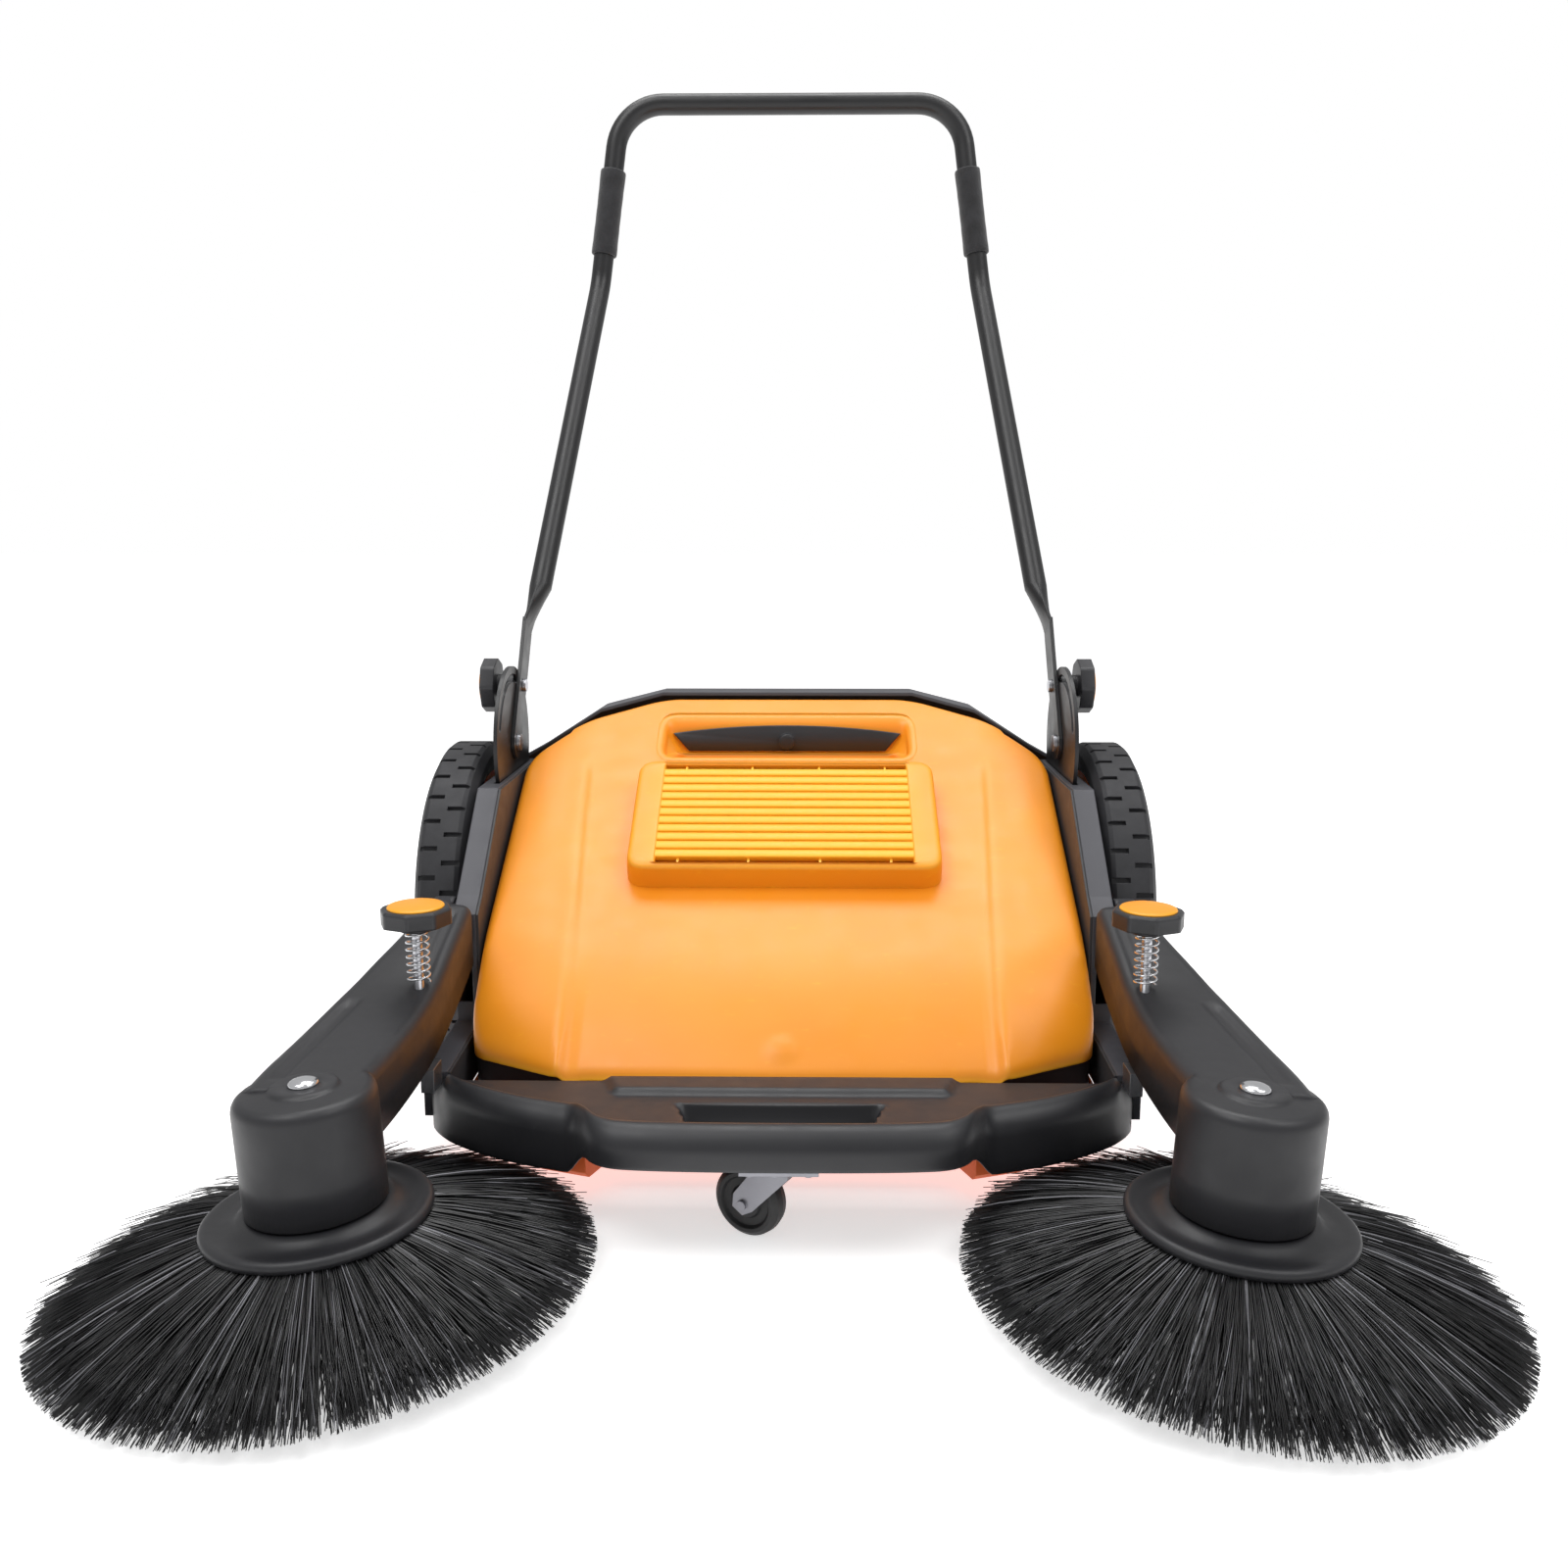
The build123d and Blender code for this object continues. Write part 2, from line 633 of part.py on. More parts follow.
with BuildPart() as bumper:
    with BuildSketch(Plane.XY.offset(bumper_bottom)):
        add(bumper_plan(0))
    extrude(amount=bumper_top - bumper_bottom)
    for half, top in ((288, block_rim_top), (172, band_rim_top)):
        with BuildSketch(Plane.XY.offset(bumper_top - 6)):
            add(bumper_rim(11, half))
        extrude(amount=top - bumper_top + 6)
    fillet(bumper.edges().group_by(Axis.Z)[-1], radius=3)
    with BuildSketch(Plane.XY.offset(bumper_bottom)):
        add(bumper_plan(5))
    extrude(amount=bumper_top - bumper_bottom - 4, mode=Mode.SUBTRACT)
    # The end blocks hang lower than the band, open at the back.
    for side in (-1, 1):
        with BuildSketch(Plane.XY.offset(block_bottom)):
            with BuildLine():
                Polyline(
                    (side * 298, ahead(338)), (side * 298, ahead(344.3)), (side * 274.7, ahead(372.4)),
                    (side * 210.2, ahead(411.2)), (side * 169.6, ahead(425.3)),
                    (side * 169.6, ahead(398)),
                )
            trace(line_width=bumper_wall)
        extrude(amount=bumper_bottom - block_bottom + 8)
    # Finger pocket let into the top.
    with Locations((0, ahead(402), bumper_top - 11)):
        Box(176, 60, 22)
    with Locations((0, ahead(402), bumper_top)):
        Box(168, 52, 36, mode=Mode.SUBTRACT)
    # Floor for the caster, and ears for the floor pan.
    with Locations((0, ahead(440), bumper_bottom + 12)):
        Box(110, 62, 6)
save(bumper, "front_bumper")

# ---------------------------------------------------------------- brush arms
post_x = 337.0
post_radius = 51.0
post_top = 160.0
arm_wall = 3.0
disc_top = 72.0
brush_tilt = math.radians(3)
pin_radius = 6.0
barrel_radius = 13.0
screw_x, screw_ahead = 303.0, 355.0


def spin_plane(side, height):
    """Plane across a side brush's axis where it is at this height; the top leans outward."""
    lean = (side * math.sin(brush_tilt), 0, math.cos(brush_tilt))
    x = side * (post_x + (height - disc_top) * math.tan(brush_tilt))
    return Plane((x, ahead(brush_ahead), height), x_dir=(0, -1, 0), z_dir=lean)


def spin_axis(side):
    """Axis a side brush turns about, pointing up."""
    plane = spin_plane(side, disc_top)
    return Axis(plane.origin, plane.z_dir)


def arm_form(side, inset):
    """Arm beam and post outside form, or the space inside its wall when inset."""
    below = 60.0 if inset else 0.0
    with BuildPart() as form:
        with BuildSketch(Plane.XY.offset(40)):
            with BuildLine():
                Polyline(
                    (side * 289, ahead(226)), (side * 288, ahead(370)), (side * 296, ahead(450)),
                    (side * 306, ahead(brush_ahead)), (side * 380, ahead(brush_ahead)),
                    (side * 389, ahead(470)), (side * 372, ahead(370)), (side * 348, ahead(280)),
                    (side * 334, ahead(226)), close=True,
                )
            make_face()
            if inset:
                offset(amount=-inset, mode=Mode.REPLACE)
        extrude(amount=200)
        with BuildSketch(side_plane(0, 0, 0)):
            with BuildLine():
                Spline((-226 + inset, 218 - inset), (-300, 196 - inset), (-355, 180 - inset),
                       (-440, 165 - inset), (-580, 159 - inset))
                Polyline((-580, 159 - inset), (-580, 104 - below), (-440, 112 - below),
                         (-330, 132 - below), (-226 + inset, 160 - below),
                         (-226 + inset, 218 - inset))
            make_face()
        extrude(amount=500, both=True, mode=Mode.INTERSECT)
        post_plane = spin_plane(side, disc_top + 1.5 - below)
        with BuildSketch(post_plane):
            Circle(post_radius - inset)
        extrude(amount=post_top - disc_top - 1.5 - inset + below)
    return form.part


for side, tag in sides:
    with BuildPart() as arm:
        add(arm_form(side, 0))
        add(arm_form(side, arm_wall), mode=Mode.SUBTRACT)
        # Hinge barrel behind the beam.
        with BuildSketch(side_plane(side * 310, arm_pivot_ahead, arm_pivot_z)):
            Circle(barrel_radius)
        extrude(amount=side * 20)
        with BuildSketch(side_plane(side * 310, arm_pivot_ahead, arm_pivot_z)):
            with BuildLine():
                Polyline((0, 12), (0, -12), (-30, -28), (-30, 10), close=True)
            make_face()
        extrude(amount=side * 20)
        with BuildSketch(side_plane(side * 300, arm_pivot_ahead, arm_pivot_z)):
            Circle(pin_radius + running_gap)
        extrude(amount=side * 60, mode=Mode.SUBTRACT)
        # Web and bearing for the brush spindle.
        with BuildSketch(spin_plane(side, 96)):
            Circle(post_radius - arm_wall + 0.5)
            Circle(7 + running_gap, mode=Mode.SUBTRACT)
        extrude(amount=6)
        with BuildSketch(spin_plane(side, post_top)):
            Circle(24)
        extrude(amount=3, taper=30)
        # The belt's way in at the hinge end.
        with Locations((side * 302, ahead(228), 150)):
            Box(24, 14, 68, mode=Mode.SUBTRACT)
        # Clearance hole for the adjusting screw.
        with BuildSketch(Plane.XY.offset(60)):
            with Locations((side * screw_x, ahead(screw_ahead))):
                Circle(7)
        extrude(amount=200, mode=Mode.SUBTRACT)
    save(arm, f"brush_arm_{tag}")

    with BuildPart() as rivet:
        with BuildSketch(spin_plane(side, post_top + 3)):
            Circle(11)
        extrude(amount=4, taper=35)
    save(rivet, f"post_rivet_{tag}")

    axis = spin_axis(side)
    with BuildPart() as disc:
        base = spin_plane(side, disc_top)
        section = Plane(base.origin, x_dir=(0, -1, 0), z_dir=base.z_dir.cross(Vector(0, -1, 0)) * -1)
        with BuildSketch(section):
            with BuildLine():
                Polyline((7, 0), (60, 0), (66, -3), (74, -2), (80, -3), (83, -7), (83, -12),
                         (80, -15), (72, -13), (60, -10), (7, -10), close=True)
            make_face()
        revolve(axis=axis)
    save(disc, f"brush_disc_{tag}")

    with BuildPart() as spindle:
        with BuildSketch(spin_plane(side, disc_top - 8)):
            Circle(7)
        extrude(amount=78)
        for height, radius, thickness in ((125.6, 30, 2), (127.6, 25.2, 5.8), (133.4, 30, 2)):
            with BuildSketch(spin_plane(side, height)):
                Circle(radius)
            extrude(amount=thickness)
    save(spindle, f"brush_spindle_{tag}")

    with BuildPart() as bristles:
        drop = disc_top - 10.5 - ring_radius * math.sin(brush_tilt) - 1.0
        with BuildSketch(section):
            with BuildLine():
                Polyline((44, -10), (60, -10), (72, -13), (80, -15), (ring_radius, -10 - drop + 2),
                         (ring_radius - 5, -10 - drop), (150, -10 - drop + 8), (90, -30), close=True)
            make_face()
        revolve(axis=axis)
    save(bristles, f"brush_bristles_{tag}")

# ---------------------------------------------------------------- arm adjusters
lug_z = 108.0
screw_top = 232.0
knob_radius = 30.0
spring_low, spring_high = 185.0, 229.0
spring_turns = 7
spring_wire = 0.9
with BuildPart() as lugs:
    for side in (-1, 1):
        with Locations((side * screw_x, ahead(screw_ahead), lug_z)):
            Box(24, 26, 8)
            with Locations((-side * 6.5, 0, -8)):
                Box(11, 26, 16)
        with BuildSketch(Plane.XY.offset(80)):
            with Locations((side * screw_x, ahead(screw_ahead))):
                Circle(4 + running_gap)
        extrude(amount=60, mode=Mode.SUBTRACT)
save(lugs, "adjuster_lugs")

for side, tag in sides:
    spot = (side * screw_x, ahead(screw_ahead))
    with BuildPart() as screw:
        with BuildSketch(Plane.XY.offset(lug_z - 8)):
            with Locations(spot):
                Circle(4)
        extrude(amount=screw_top + 8 - lug_z + 8)
    save(screw, f"adjust_screw_{tag}")

    with BuildPart() as knob:
        with BuildSketch(Plane.XY.offset(screw_top + 4)):
            with Locations(spot):
                RegularPolygon(knob_radius, 8)
                Circle(4, mode=Mode.SUBTRACT)
        extrude(amount=14)
        fillet(knob.edges().filter_by(Axis.Z).sort_by_distance((spot[0], spot[1], screw_top + 11))[-8:],
               radius=6)
        chamfer(knob.faces().sort_by(Axis.Z)[-1].edges().sort_by(SortBy.LENGTH)[-8:], length=2)
        with BuildSketch(Plane.XY.offset(screw_top - 2)):
            with Locations(spot):
                Circle(13)
                Circle(4, mode=Mode.SUBTRACT)
        extrude(amount=6)
    save(knob, f"adjust_knob_{tag}")

    with BuildPart() as cap:
        with BuildSketch(Plane.XY.offset(screw_top + 18)):
            with Locations(spot):
                Circle(23.5)
        extrude(amount=3.5, taper=40)
    save(cap, f"adjust_cap_{tag}")

    with BuildPart() as spring:
        with BuildLine(Plane((spot[0], spot[1], spring_low))) as coil:
            Helix(pitch=(spring_high - spring_low) / spring_turns, height=spring_high - spring_low,
                  radius=9)
        with BuildSketch(Plane(coil.line @ 0, z_dir=coil.line % 0)):
            Circle(spring_wire)
        sweep()
    save(spring, f"arm_spring_{tag}")

# ---------------------------------------------------------------- belts
belt_bend = 212.0
spindle_reach = 28.0


def tangent_angle(height, upper):
    """Angle on the drive pulley where a belt run towards the bend leaves it."""
    rise = height - axle_z
    spread = math.acos(belt_line_radius / math.hypot(belt_bend, rise))
    return math.atan2(rise, belt_bend) + (spread if upper else -spread)


for side, tag in sides:
    spindle = spin_plane(side, 130.5)
    near = spindle.from_local_coords((0, -side * spindle_reach, 0))
    far = spindle.from_local_coords((0, side * spindle_reach, 0))
    ends = []
    with BuildPart() as belt:
        for target, height, upper, waist in ((near, 176, True, 317), (far, 142, False, 330)):
            angle = tangent_angle(height, upper)
            ends.append(angle)
            start = (side * pulley_x, ahead(belt_line_radius * math.cos(angle)),
                     axle_z + belt_line_radius * math.sin(angle))
            with BuildLine() as run:
                FilletPolyline(
                    start, (side * pulley_x, ahead(belt_bend), height),
                    (side * waist, ahead(300), (2 * height + target.Z) / 3),
                    (target.X, ahead(430), target.Z), (target.X, ahead(brush_ahead), target.Z),
                    radius=60,
                )
            with BuildSketch(Plane(run.line @ 0, z_dir=run.line % 0)):
                Circle(belt_radius)
            sweep(path=run.line)
        wrap = math.degrees(ends[0] - ends[1])
        wrap_plane = Plane((side * pulley_x, ahead(belt_line_radius * math.cos(ends[0])),
                            axle_z + belt_line_radius * math.sin(ends[0])),
                           z_dir=(0, -math.sin(ends[0]), -math.cos(ends[0])))
        with BuildSketch(wrap_plane):
            Circle(belt_radius)
        revolve(axis=wheel_axis, revolution_arc=wrap - 360)
        with BuildSketch(Plane(far, z_dir=(0, -1, 0))):
            Circle(belt_radius)
        revolve(axis=Axis(spindle.origin, spindle.z_dir), revolution_arc=-side * 180)
    save(belt, f"drive_belt_{tag}")

# ---------------------------------------------------------------- handle
leg_x_low, leg_x_kink, leg_x_top = 281.0, 240.0, 212.0
kink_behind, kink_z = 366.0, 868.0
low_behind, low_z = 118.0, 497.0
strip_in, strip_out = 290.0, 294.0
strip_width = 34.0
lean_dir = (0, math.sin(handle_lean), math.cos(handle_lean))
with BuildPart() as handle:
    with BuildLine() as handle_path:
        FilletPolyline(
            (-leg_x_low, ahead(-low_behind), low_z),
            (-leg_x_kink, ahead(-kink_behind), kink_z),
            (-leg_x_top, ahead(-bar_behind), bar_height),
            (leg_x_top, ahead(-bar_behind), bar_height),
            (leg_x_kink, ahead(-kink_behind), kink_z),
            (leg_x_low, ahead(-low_behind), low_z),
            radius=60,
        )
    with BuildSketch(Plane(handle_path.line @ 0, z_dir=handle_path.line % 0)):
        Circle(tube_radius)
    sweep(path=handle_path.line)
    for side in (-1, 1):
        strip_x = side * (strip_in + strip_out) / 2
        drop_run = 52.0
        end, heading = handle_path.line @ 0, handle_path.line % 0
        if side > 0:
            end, heading = handle_path.line @ 1, handle_path.line % 1 * -1
        tube_end = Plane(end, x_dir=(1, 0, 0), z_dir=heading)
        strip_start = Plane(
            (strip_x, ahead(-low_behind + drop_run * math.sin(handle_lean)),
             low_z - drop_run * math.cos(handle_lean)),
            x_dir=(1, 0, 0), z_dir=lean_dir,
        )
        with BuildSketch(tube_end):
            Circle(tube_radius)
        with BuildSketch(strip_start):
            RectangleRounded(strip_out - strip_in, strip_width, 1.9)
        loft()
        with BuildSketch(side_plane(side * strip_in, handle_pivot, handle_pivot_z)):
            with Locations(Rotation(0, 0, 90 - math.degrees(handle_lean))):
                with Locations((72, 0)):
                    Rectangle(150, strip_width)
                Circle(strip_width / 2)
        extrude(amount=side * (strip_out - strip_in))
        for radius, behind, height in (
            (5 + running_gap, -handle_pivot, handle_pivot_z),
            (4 + running_gap, -clamp_ahead, clamp_z),
        ):
            with BuildSketch(side_plane(side * 280, -behind, height)):
                Circle(radius)
            extrude(amount=side * 40, mode=Mode.SUBTRACT)
    # The tube is hollow between its flattened ends.
    with BuildSketch(Plane(handle_path.line @ 0, z_dir=handle_path.line % 0)):
        Circle(tube_radius - tube_wall)
    sweep(path=handle_path.line, mode=Mode.SUBTRACT)
save(handle, "handle_tube")

upper = Vector(leg_x_top - leg_x_kink, bar_behind - kink_behind, bar_height - kink_z).normalized()
with BuildPart() as grips:
    for side in (-1, 1):
        start_z = 905.0
        along = (start_z - kink_z) / upper.Z
        base = Plane(
            (side * (leg_x_kink + upper.X * along), ahead(-kink_behind - upper.Y * along), start_z),
            x_dir=(0, 1, 0), z_dir=(side * upper.X, upper.Y, upper.Z),
        )
        with BuildSketch(base):
            Circle(tube_radius + 3.5)
            Circle(tube_radius, mode=Mode.SUBTRACT)
        extrude(amount=104)
save(grips, "foam_grips")

for side, tag in sides:
    spot = side_plane(side * 299.0, clamp_ahead, clamp_z)
    with BuildPart() as knob:
        with BuildSketch(spot):
            Circle(12)
            Circle(4, mode=Mode.SUBTRACT)
        extrude(amount=side * 19)
        with BuildSketch(side_plane(side * 317, clamp_ahead, clamp_z)):
            RegularPolygon(knob_radius, 8)
            Circle(4, mode=Mode.SUBTRACT)
        extrude(amount=side * 15)
        fillet(knob.edges().filter_by(Axis.X).sort_by_distance((0, ahead(clamp_ahead), clamp_z))[-8:],
               radius=6)
    save(knob, f"clamp_knob_{tag}")

    with BuildPart() as cap:
        with BuildSketch(side_plane(side * 332, clamp_ahead, clamp_z)):
            Circle(23.5)
        extrude(amount=side * 3.5, taper=40)
    save(cap, f"clamp_cap_{tag}")

    with BuildPart() as bolt:
        with BuildSketch(side_plane(side * 286.2, clamp_ahead, clamp_z)):
            Circle(7)
        extrude(amount=side * 3.6)
        with BuildSketch(side_plane(side * 286.2, clamp_ahead, clamp_z)):
            Circle(4)
        extrude(amount=side * 44)
    save(bolt, f"clamp_bolt_{tag}")

# ---------------------------------------------------------------- pivots and screws
with BuildPart() as pins:
    for side in (-1, 1):
        with BuildSketch(side_plane(side * 286.2, handle_pivot, handle_pivot_z)):
            Circle(9)
        extrude(amount=side * 3.6)
        with BuildSketch(side_plane(side * 286.2, handle_pivot, handle_pivot_z)):
            Circle(5)
        extrude(amount=side * 18)
        with BuildSketch(side_plane(side * bracket_out, handle_pivot, handle_pivot_z)):
            RegularPolygon(8, 6)
        extrude(amount=side * 5)
        with BuildSketch(side_plane(side * 291, arm_pivot_ahead, arm_pivot_z)):
            Circle(pin_radius)
        extrude(amount=side * 43)
        with BuildSketch(side_plane(side * 330.4, arm_pivot_ahead, arm_pivot_z)):
            Circle(9.5)
        extrude(amount=side * 4)
save(pins, "pivot_pins")

with BuildPart() as screws:
    for side in (-1, 1):
        for distance, height in ((-40, 275), (60, 275), (240, 88), (320, 88), (-70, 80)):
            with BuildSketch(side_plane(side * panel_out, distance, height)):
                Circle(4)
            extrude(amount=side * 2.4, taper=20)
save(screws, "panel_screws")

# ---------------------------------------------------------------- caster
caster_radius = 30.0
swivel_ahead = 440.0
trail = 26.0
caster_turn = math.radians(62)
trail_dir = Vector(-math.sin(caster_turn), math.cos(caster_turn), 0)
roll_dir = Vector(math.cos(caster_turn), math.sin(caster_turn), 0)
swivel = Vector(0, ahead(swivel_ahead), 0)
wheel_centre = swivel + trail_dir * trail + Vector(0, 0, caster_radius)
with BuildPart() as caster_plate:
    with Locations((0, ahead(swivel_ahead), bumper_bottom + 7.5)):
        Box(62, 50, 3)
    with Locations((0, ahead(swivel_ahead), bumper_bottom + 4.8)):
        with GridLocations(46, 36, 2, 2):
            Cylinder(3.5, 2.6)
    with Locations((0, ahead(swivel_ahead), bumper_bottom + 3)):
        Cylinder(4, 11)
save(caster_plate, "caster_plate")

fork_gap = 11.5
fork_thickness = 2.5
with BuildPart() as fork:
    with Locations((swivel.X, swivel.Y, bumper_bottom + 1.6)):
        Cylinder(15, 3.6)
    leg_plane = Plane(swivel + Vector(0, 0, caster_radius), x_dir=trail_dir, z_dir=roll_dir)
    for side in (-1, 1):
        with BuildSketch(leg_plane.offset(side * (fork_gap + fork_thickness / 2) - fork_thickness / 2)):
            Polygon((-15, 33.2), (-15, 30), (trail - 9, -4), (trail, -9), (trail + 9, -3),
                    (trail + 8, 8), (15, 33.2), align=None)
        extrude(amount=fork_thickness)
    # Crown bridge over the wheel, cut back to clear it, and the axle through both legs.
    with BuildSketch(leg_plane.offset(-fork_gap - fork_thickness)):
        Polygon((-15, 33.2), (-15, 30.4), (15, 30.4), (15, 33.2), align=None)
    extrude(amount=2 * (fork_gap + fork_thickness))
    with BuildSketch(Plane(wheel_centre, x_dir=trail_dir, z_dir=roll_dir).offset(-fork_gap - 5)):
        Circle(4)
    extrude(amount=2 * fork_gap + 10)
    with BuildSketch(Plane.XY.offset(bumper_bottom - 10)):
        with Locations((swivel.X, swivel.Y)):
            Circle(4 + running_gap)
    extrude(amount=40, mode=Mode.SUBTRACT)
save(fork, "caster_fork")

with BuildPart() as caster_wheel:
    wheel_plane = Plane(wheel_centre, x_dir=roll_dir, z_dir=trail_dir * -1)
    with BuildSketch(wheel_plane):
        with BuildLine():
            Polyline((-10, 4 + running_gap), (10, 4 + running_gap), (10, 12), (7, 14), (7, 20), (10, 22),
                     (10, 25), (6, 29), (0, caster_radius), (-6, 29), (-10, 25), (-10, 22), (-7, 20),
                     (-7, 14), (-10, 12), close=True)
        make_face()
    revolve(axis=Axis(wheel_centre, roll_dir))
save(caster_wheel, "caster_wheel")
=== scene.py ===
"""Looks for the walk-behind sweeper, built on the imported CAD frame. Metres, +Z up, front towards -Y."""

import math
import random

import bmesh
import bpy
from mathutils import Euler, Matrix, Vector


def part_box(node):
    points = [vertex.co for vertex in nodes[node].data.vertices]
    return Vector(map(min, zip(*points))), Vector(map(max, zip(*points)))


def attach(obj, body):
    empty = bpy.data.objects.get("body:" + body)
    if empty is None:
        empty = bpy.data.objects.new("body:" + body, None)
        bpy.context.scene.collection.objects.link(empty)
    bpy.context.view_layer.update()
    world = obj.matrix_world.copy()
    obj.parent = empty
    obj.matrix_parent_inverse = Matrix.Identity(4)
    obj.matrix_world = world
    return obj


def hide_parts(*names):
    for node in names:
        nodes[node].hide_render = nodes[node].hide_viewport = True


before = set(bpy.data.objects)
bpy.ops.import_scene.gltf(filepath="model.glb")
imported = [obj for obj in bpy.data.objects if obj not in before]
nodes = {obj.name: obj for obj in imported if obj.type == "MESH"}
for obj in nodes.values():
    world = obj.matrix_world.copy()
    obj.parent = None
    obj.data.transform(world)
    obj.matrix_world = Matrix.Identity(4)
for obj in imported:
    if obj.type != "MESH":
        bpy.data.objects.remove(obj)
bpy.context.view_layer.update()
sides = ((-1, "left"), (1, "right"))
mm = 0.001
axle_y = 0.16225
thin_wall, shell_wall = 0.0024, 0.003
strands_per_brush, tufts_per_brush, tufts_per_row = 7600, 46, 430


def ahead(distance):
    """Y in metres of a point this many millimetres ahead of the wheel axle."""
    return axle_y - distance * mm


# ------------------------------------------------------------------ materials
class Nodes:
    """Shorthand for one material's node tree."""

    def __init__(self, name):
        self.material = bpy.data.materials.new(name)
        self.material.use_nodes = True
        self.tree = self.material.node_tree
        self.shader = self.tree.nodes["Principled BSDF"]
        self.place = self.add("ShaderNodeTexCoord").outputs["Object"]

    def add(self, kind, **inputs):
        node = self.tree.nodes.new(kind)
        for key, value in inputs.items():
            self.put(node.inputs[key.replace("_", " ")], value)
        return node

    def put(self, socket, value):
        if isinstance(value, bpy.types.NodeSocket):
            self.tree.links.new(value, socket)
        else:
            socket.default_value = value

    def noise(self, scale, detail=4.0, rough=0.55, stretch=None):
        place = self.place
        if stretch:
            place = self.add("ShaderNodeMapping", Vector=place, Scale=stretch).outputs[0]
        made = self.add("ShaderNodeTexNoise", Vector=place, Scale=scale, Detail=detail)
        made.inputs["Roughness"].default_value = rough
        return made.outputs["Fac"]

    def span(self, value, low, high, start=0.3, stop=0.7):
        made = self.add("ShaderNodeMapRange")
        for index, entry in enumerate((value, start, stop, low, high)):
            self.put(made.inputs[index], entry)
        return made.outputs[0]

    def mix(self, factor, first, second):
        made = self.tree.nodes.new("ShaderNodeMix")
        made.data_type = "RGBA"
        self.put(made.inputs["Factor"], factor)
        self.put(made.inputs[6], first)
        self.put(made.inputs[7], second)
        return made.outputs[2]

    def bump(self, height, strength, distance, normal=None):
        made = self.add("ShaderNodeBump", Height=height, Strength=strength, Distance=distance)
        if normal is not None:
            self.put(made.inputs["Normal"], normal)
        return made.outputs[0]

    def edge(self, radius):
        made = self.tree.nodes.new("ShaderNodeBevel")
        made.samples = 6
        made.inputs["Radius"].default_value = radius
        return made.outputs[0]

    # Mask of sharp convex edges, where a painted highlight is laid in a paler colour.
    def painted_edge_highlight(self):
        return self.span(self.add("ShaderNodeNewGeometry").outputs["Pointiness"], 0.0, 1.0, 0.52, 0.6)

    def set(self, **inputs):
        for key, value in inputs.items():
            self.put(self.shader.inputs[key.replace("_", " ")], value)
        return self.material


def colour(red, green, blue):
    """Scene-linear colour from a display colour of 0 to 255."""
    linear = [((c / 255 + 0.055) / 1.055) ** 2.4 if c > 10 else c / 3294 for c in (red, green, blue)]
    return (*linear, 1.0)


def moulded(name, base, dark, rough, grain=1800.0, depth=0.05, edge=0.0012, coat=0.0):
    """Moulded plastic: slight mottling, fine grain, soft edges that catch the light, faint scuffs, a painted
    highlight on sharp edges.
    """
    n = Nodes(name)
    body = n.mix(n.span(n.noise(6.0), 0.0, 1.0), base, dark)
    lighter = tuple(min(1.0, c * 1.35 + 0.004) for c in base[:3]) + (1.0,)
    scuff = n.span(n.noise(55.0, 8.0, 0.7, (1.0, 4.0, 1.0)), 0.0, 0.35, 0.6, 0.72)
    # Paler streaks are scuffs; the paler sharp edges are a painted highlight.
    tone = n.mix(n.painted_edge_highlight(), n.mix(scuff, body, lighter), lighter)
    ripple = n.bump(n.noise(14.0, 2.0), 0.08, 0.002, n.edge(edge))
    skin = n.bump(n.noise(grain, 3.0), depth, 0.0004, ripple)
    return n.set(Base_Color=tone, Roughness=n.span(n.noise(40.0), rough - 0.05, rough + 0.07),
                 Normal=skin, Coat_Weight=coat, Coat_Roughness=0.25, IOR=1.48)


def metal(name, base, rough, brushed=0.15, stretch=(1.0, 1.0, 30.0)):
    """Bright metal with fine directional scratches and dull patches."""
    n = Nodes(name)
    scratch = n.noise(160.0, 6.0, 0.7, stretch)
    tone = n.mix(n.span(n.noise(30.0), 0.0, 0.6), base, tuple(c * 0.8 for c in base[:3]) + (1.0,))
    return n.set(Base_Color=tone, Metallic=1.0, Roughness=n.span(scratch, rough, rough + 0.15),
                 Normal=n.bump(scratch, brushed, 0.0002, n.edge(0.0006)))


def rubber(name, base, rough, grain=900.0):
    """Vulcanised rubber with pitted grain and pale dust."""
    n = Nodes(name)
    dust = n.span(n.noise(24.0, 6.0, 0.65), 0.0, 0.5, 0.5, 0.75)
    tone = n.mix(dust, base, tuple(c * 1.8 + 0.004 for c in base[:3]) + (1.0,))
    pits = n.bump(n.noise(grain, 4.0, 0.7), 0.22, 0.0005, n.edge(0.0012))
    return n.set(Base_Color=tone, Roughness=n.span(n.noise(60.0), rough, rough + 0.1), Normal=pits)


def foam(name):
    """Closed-cell foam: fine cells and a soft matte skin."""
    n = Nodes(name)
    cells = n.add("ShaderNodeTexVoronoi", Vector=n.place, Scale=900.0).outputs["Distance"]
    tone = n.mix(n.span(n.noise(70.0), 0.0, 1.0), colour(24, 24, 26), colour(40, 40, 43))
    skin = n.bump(cells, 0.5, 0.0006, n.bump(n.noise(220.0), 0.35, 0.0012))
    return n.set(Base_Color=tone, Roughness=0.92, Sheen_Weight=0.25, Sheen_Roughness=0.5, Normal=skin)


def nylon(name):
    """Bristle filament: each strand its own shade, a few painted pale grey as painted glints."""
    n = Nodes(name)
    strand = n.add("ShaderNodeNewGeometry").outputs["Random Per Island"]
    # Painted highlight: the palest strands are coloured light grey to stand in for glints of light.
    pale = n.mix(n.span(strand, 0.0, 1.0, 0.84, 1.0), colour(20, 20, 22), colour(150, 150, 156))
    tone = n.mix(n.span(strand, 0.0, 1.0, 0.0, 0.5), colour(9, 9, 10), pale)
    return n.set(Base_Color=tone, Roughness=n.span(strand, 0.28, 0.5, 0.0, 1.0),
                 Normal=n.bump(n.noise(900.0, 3.0, 0.6, (1.0, 1.0, 0.2)), 0.2, 0.0003))


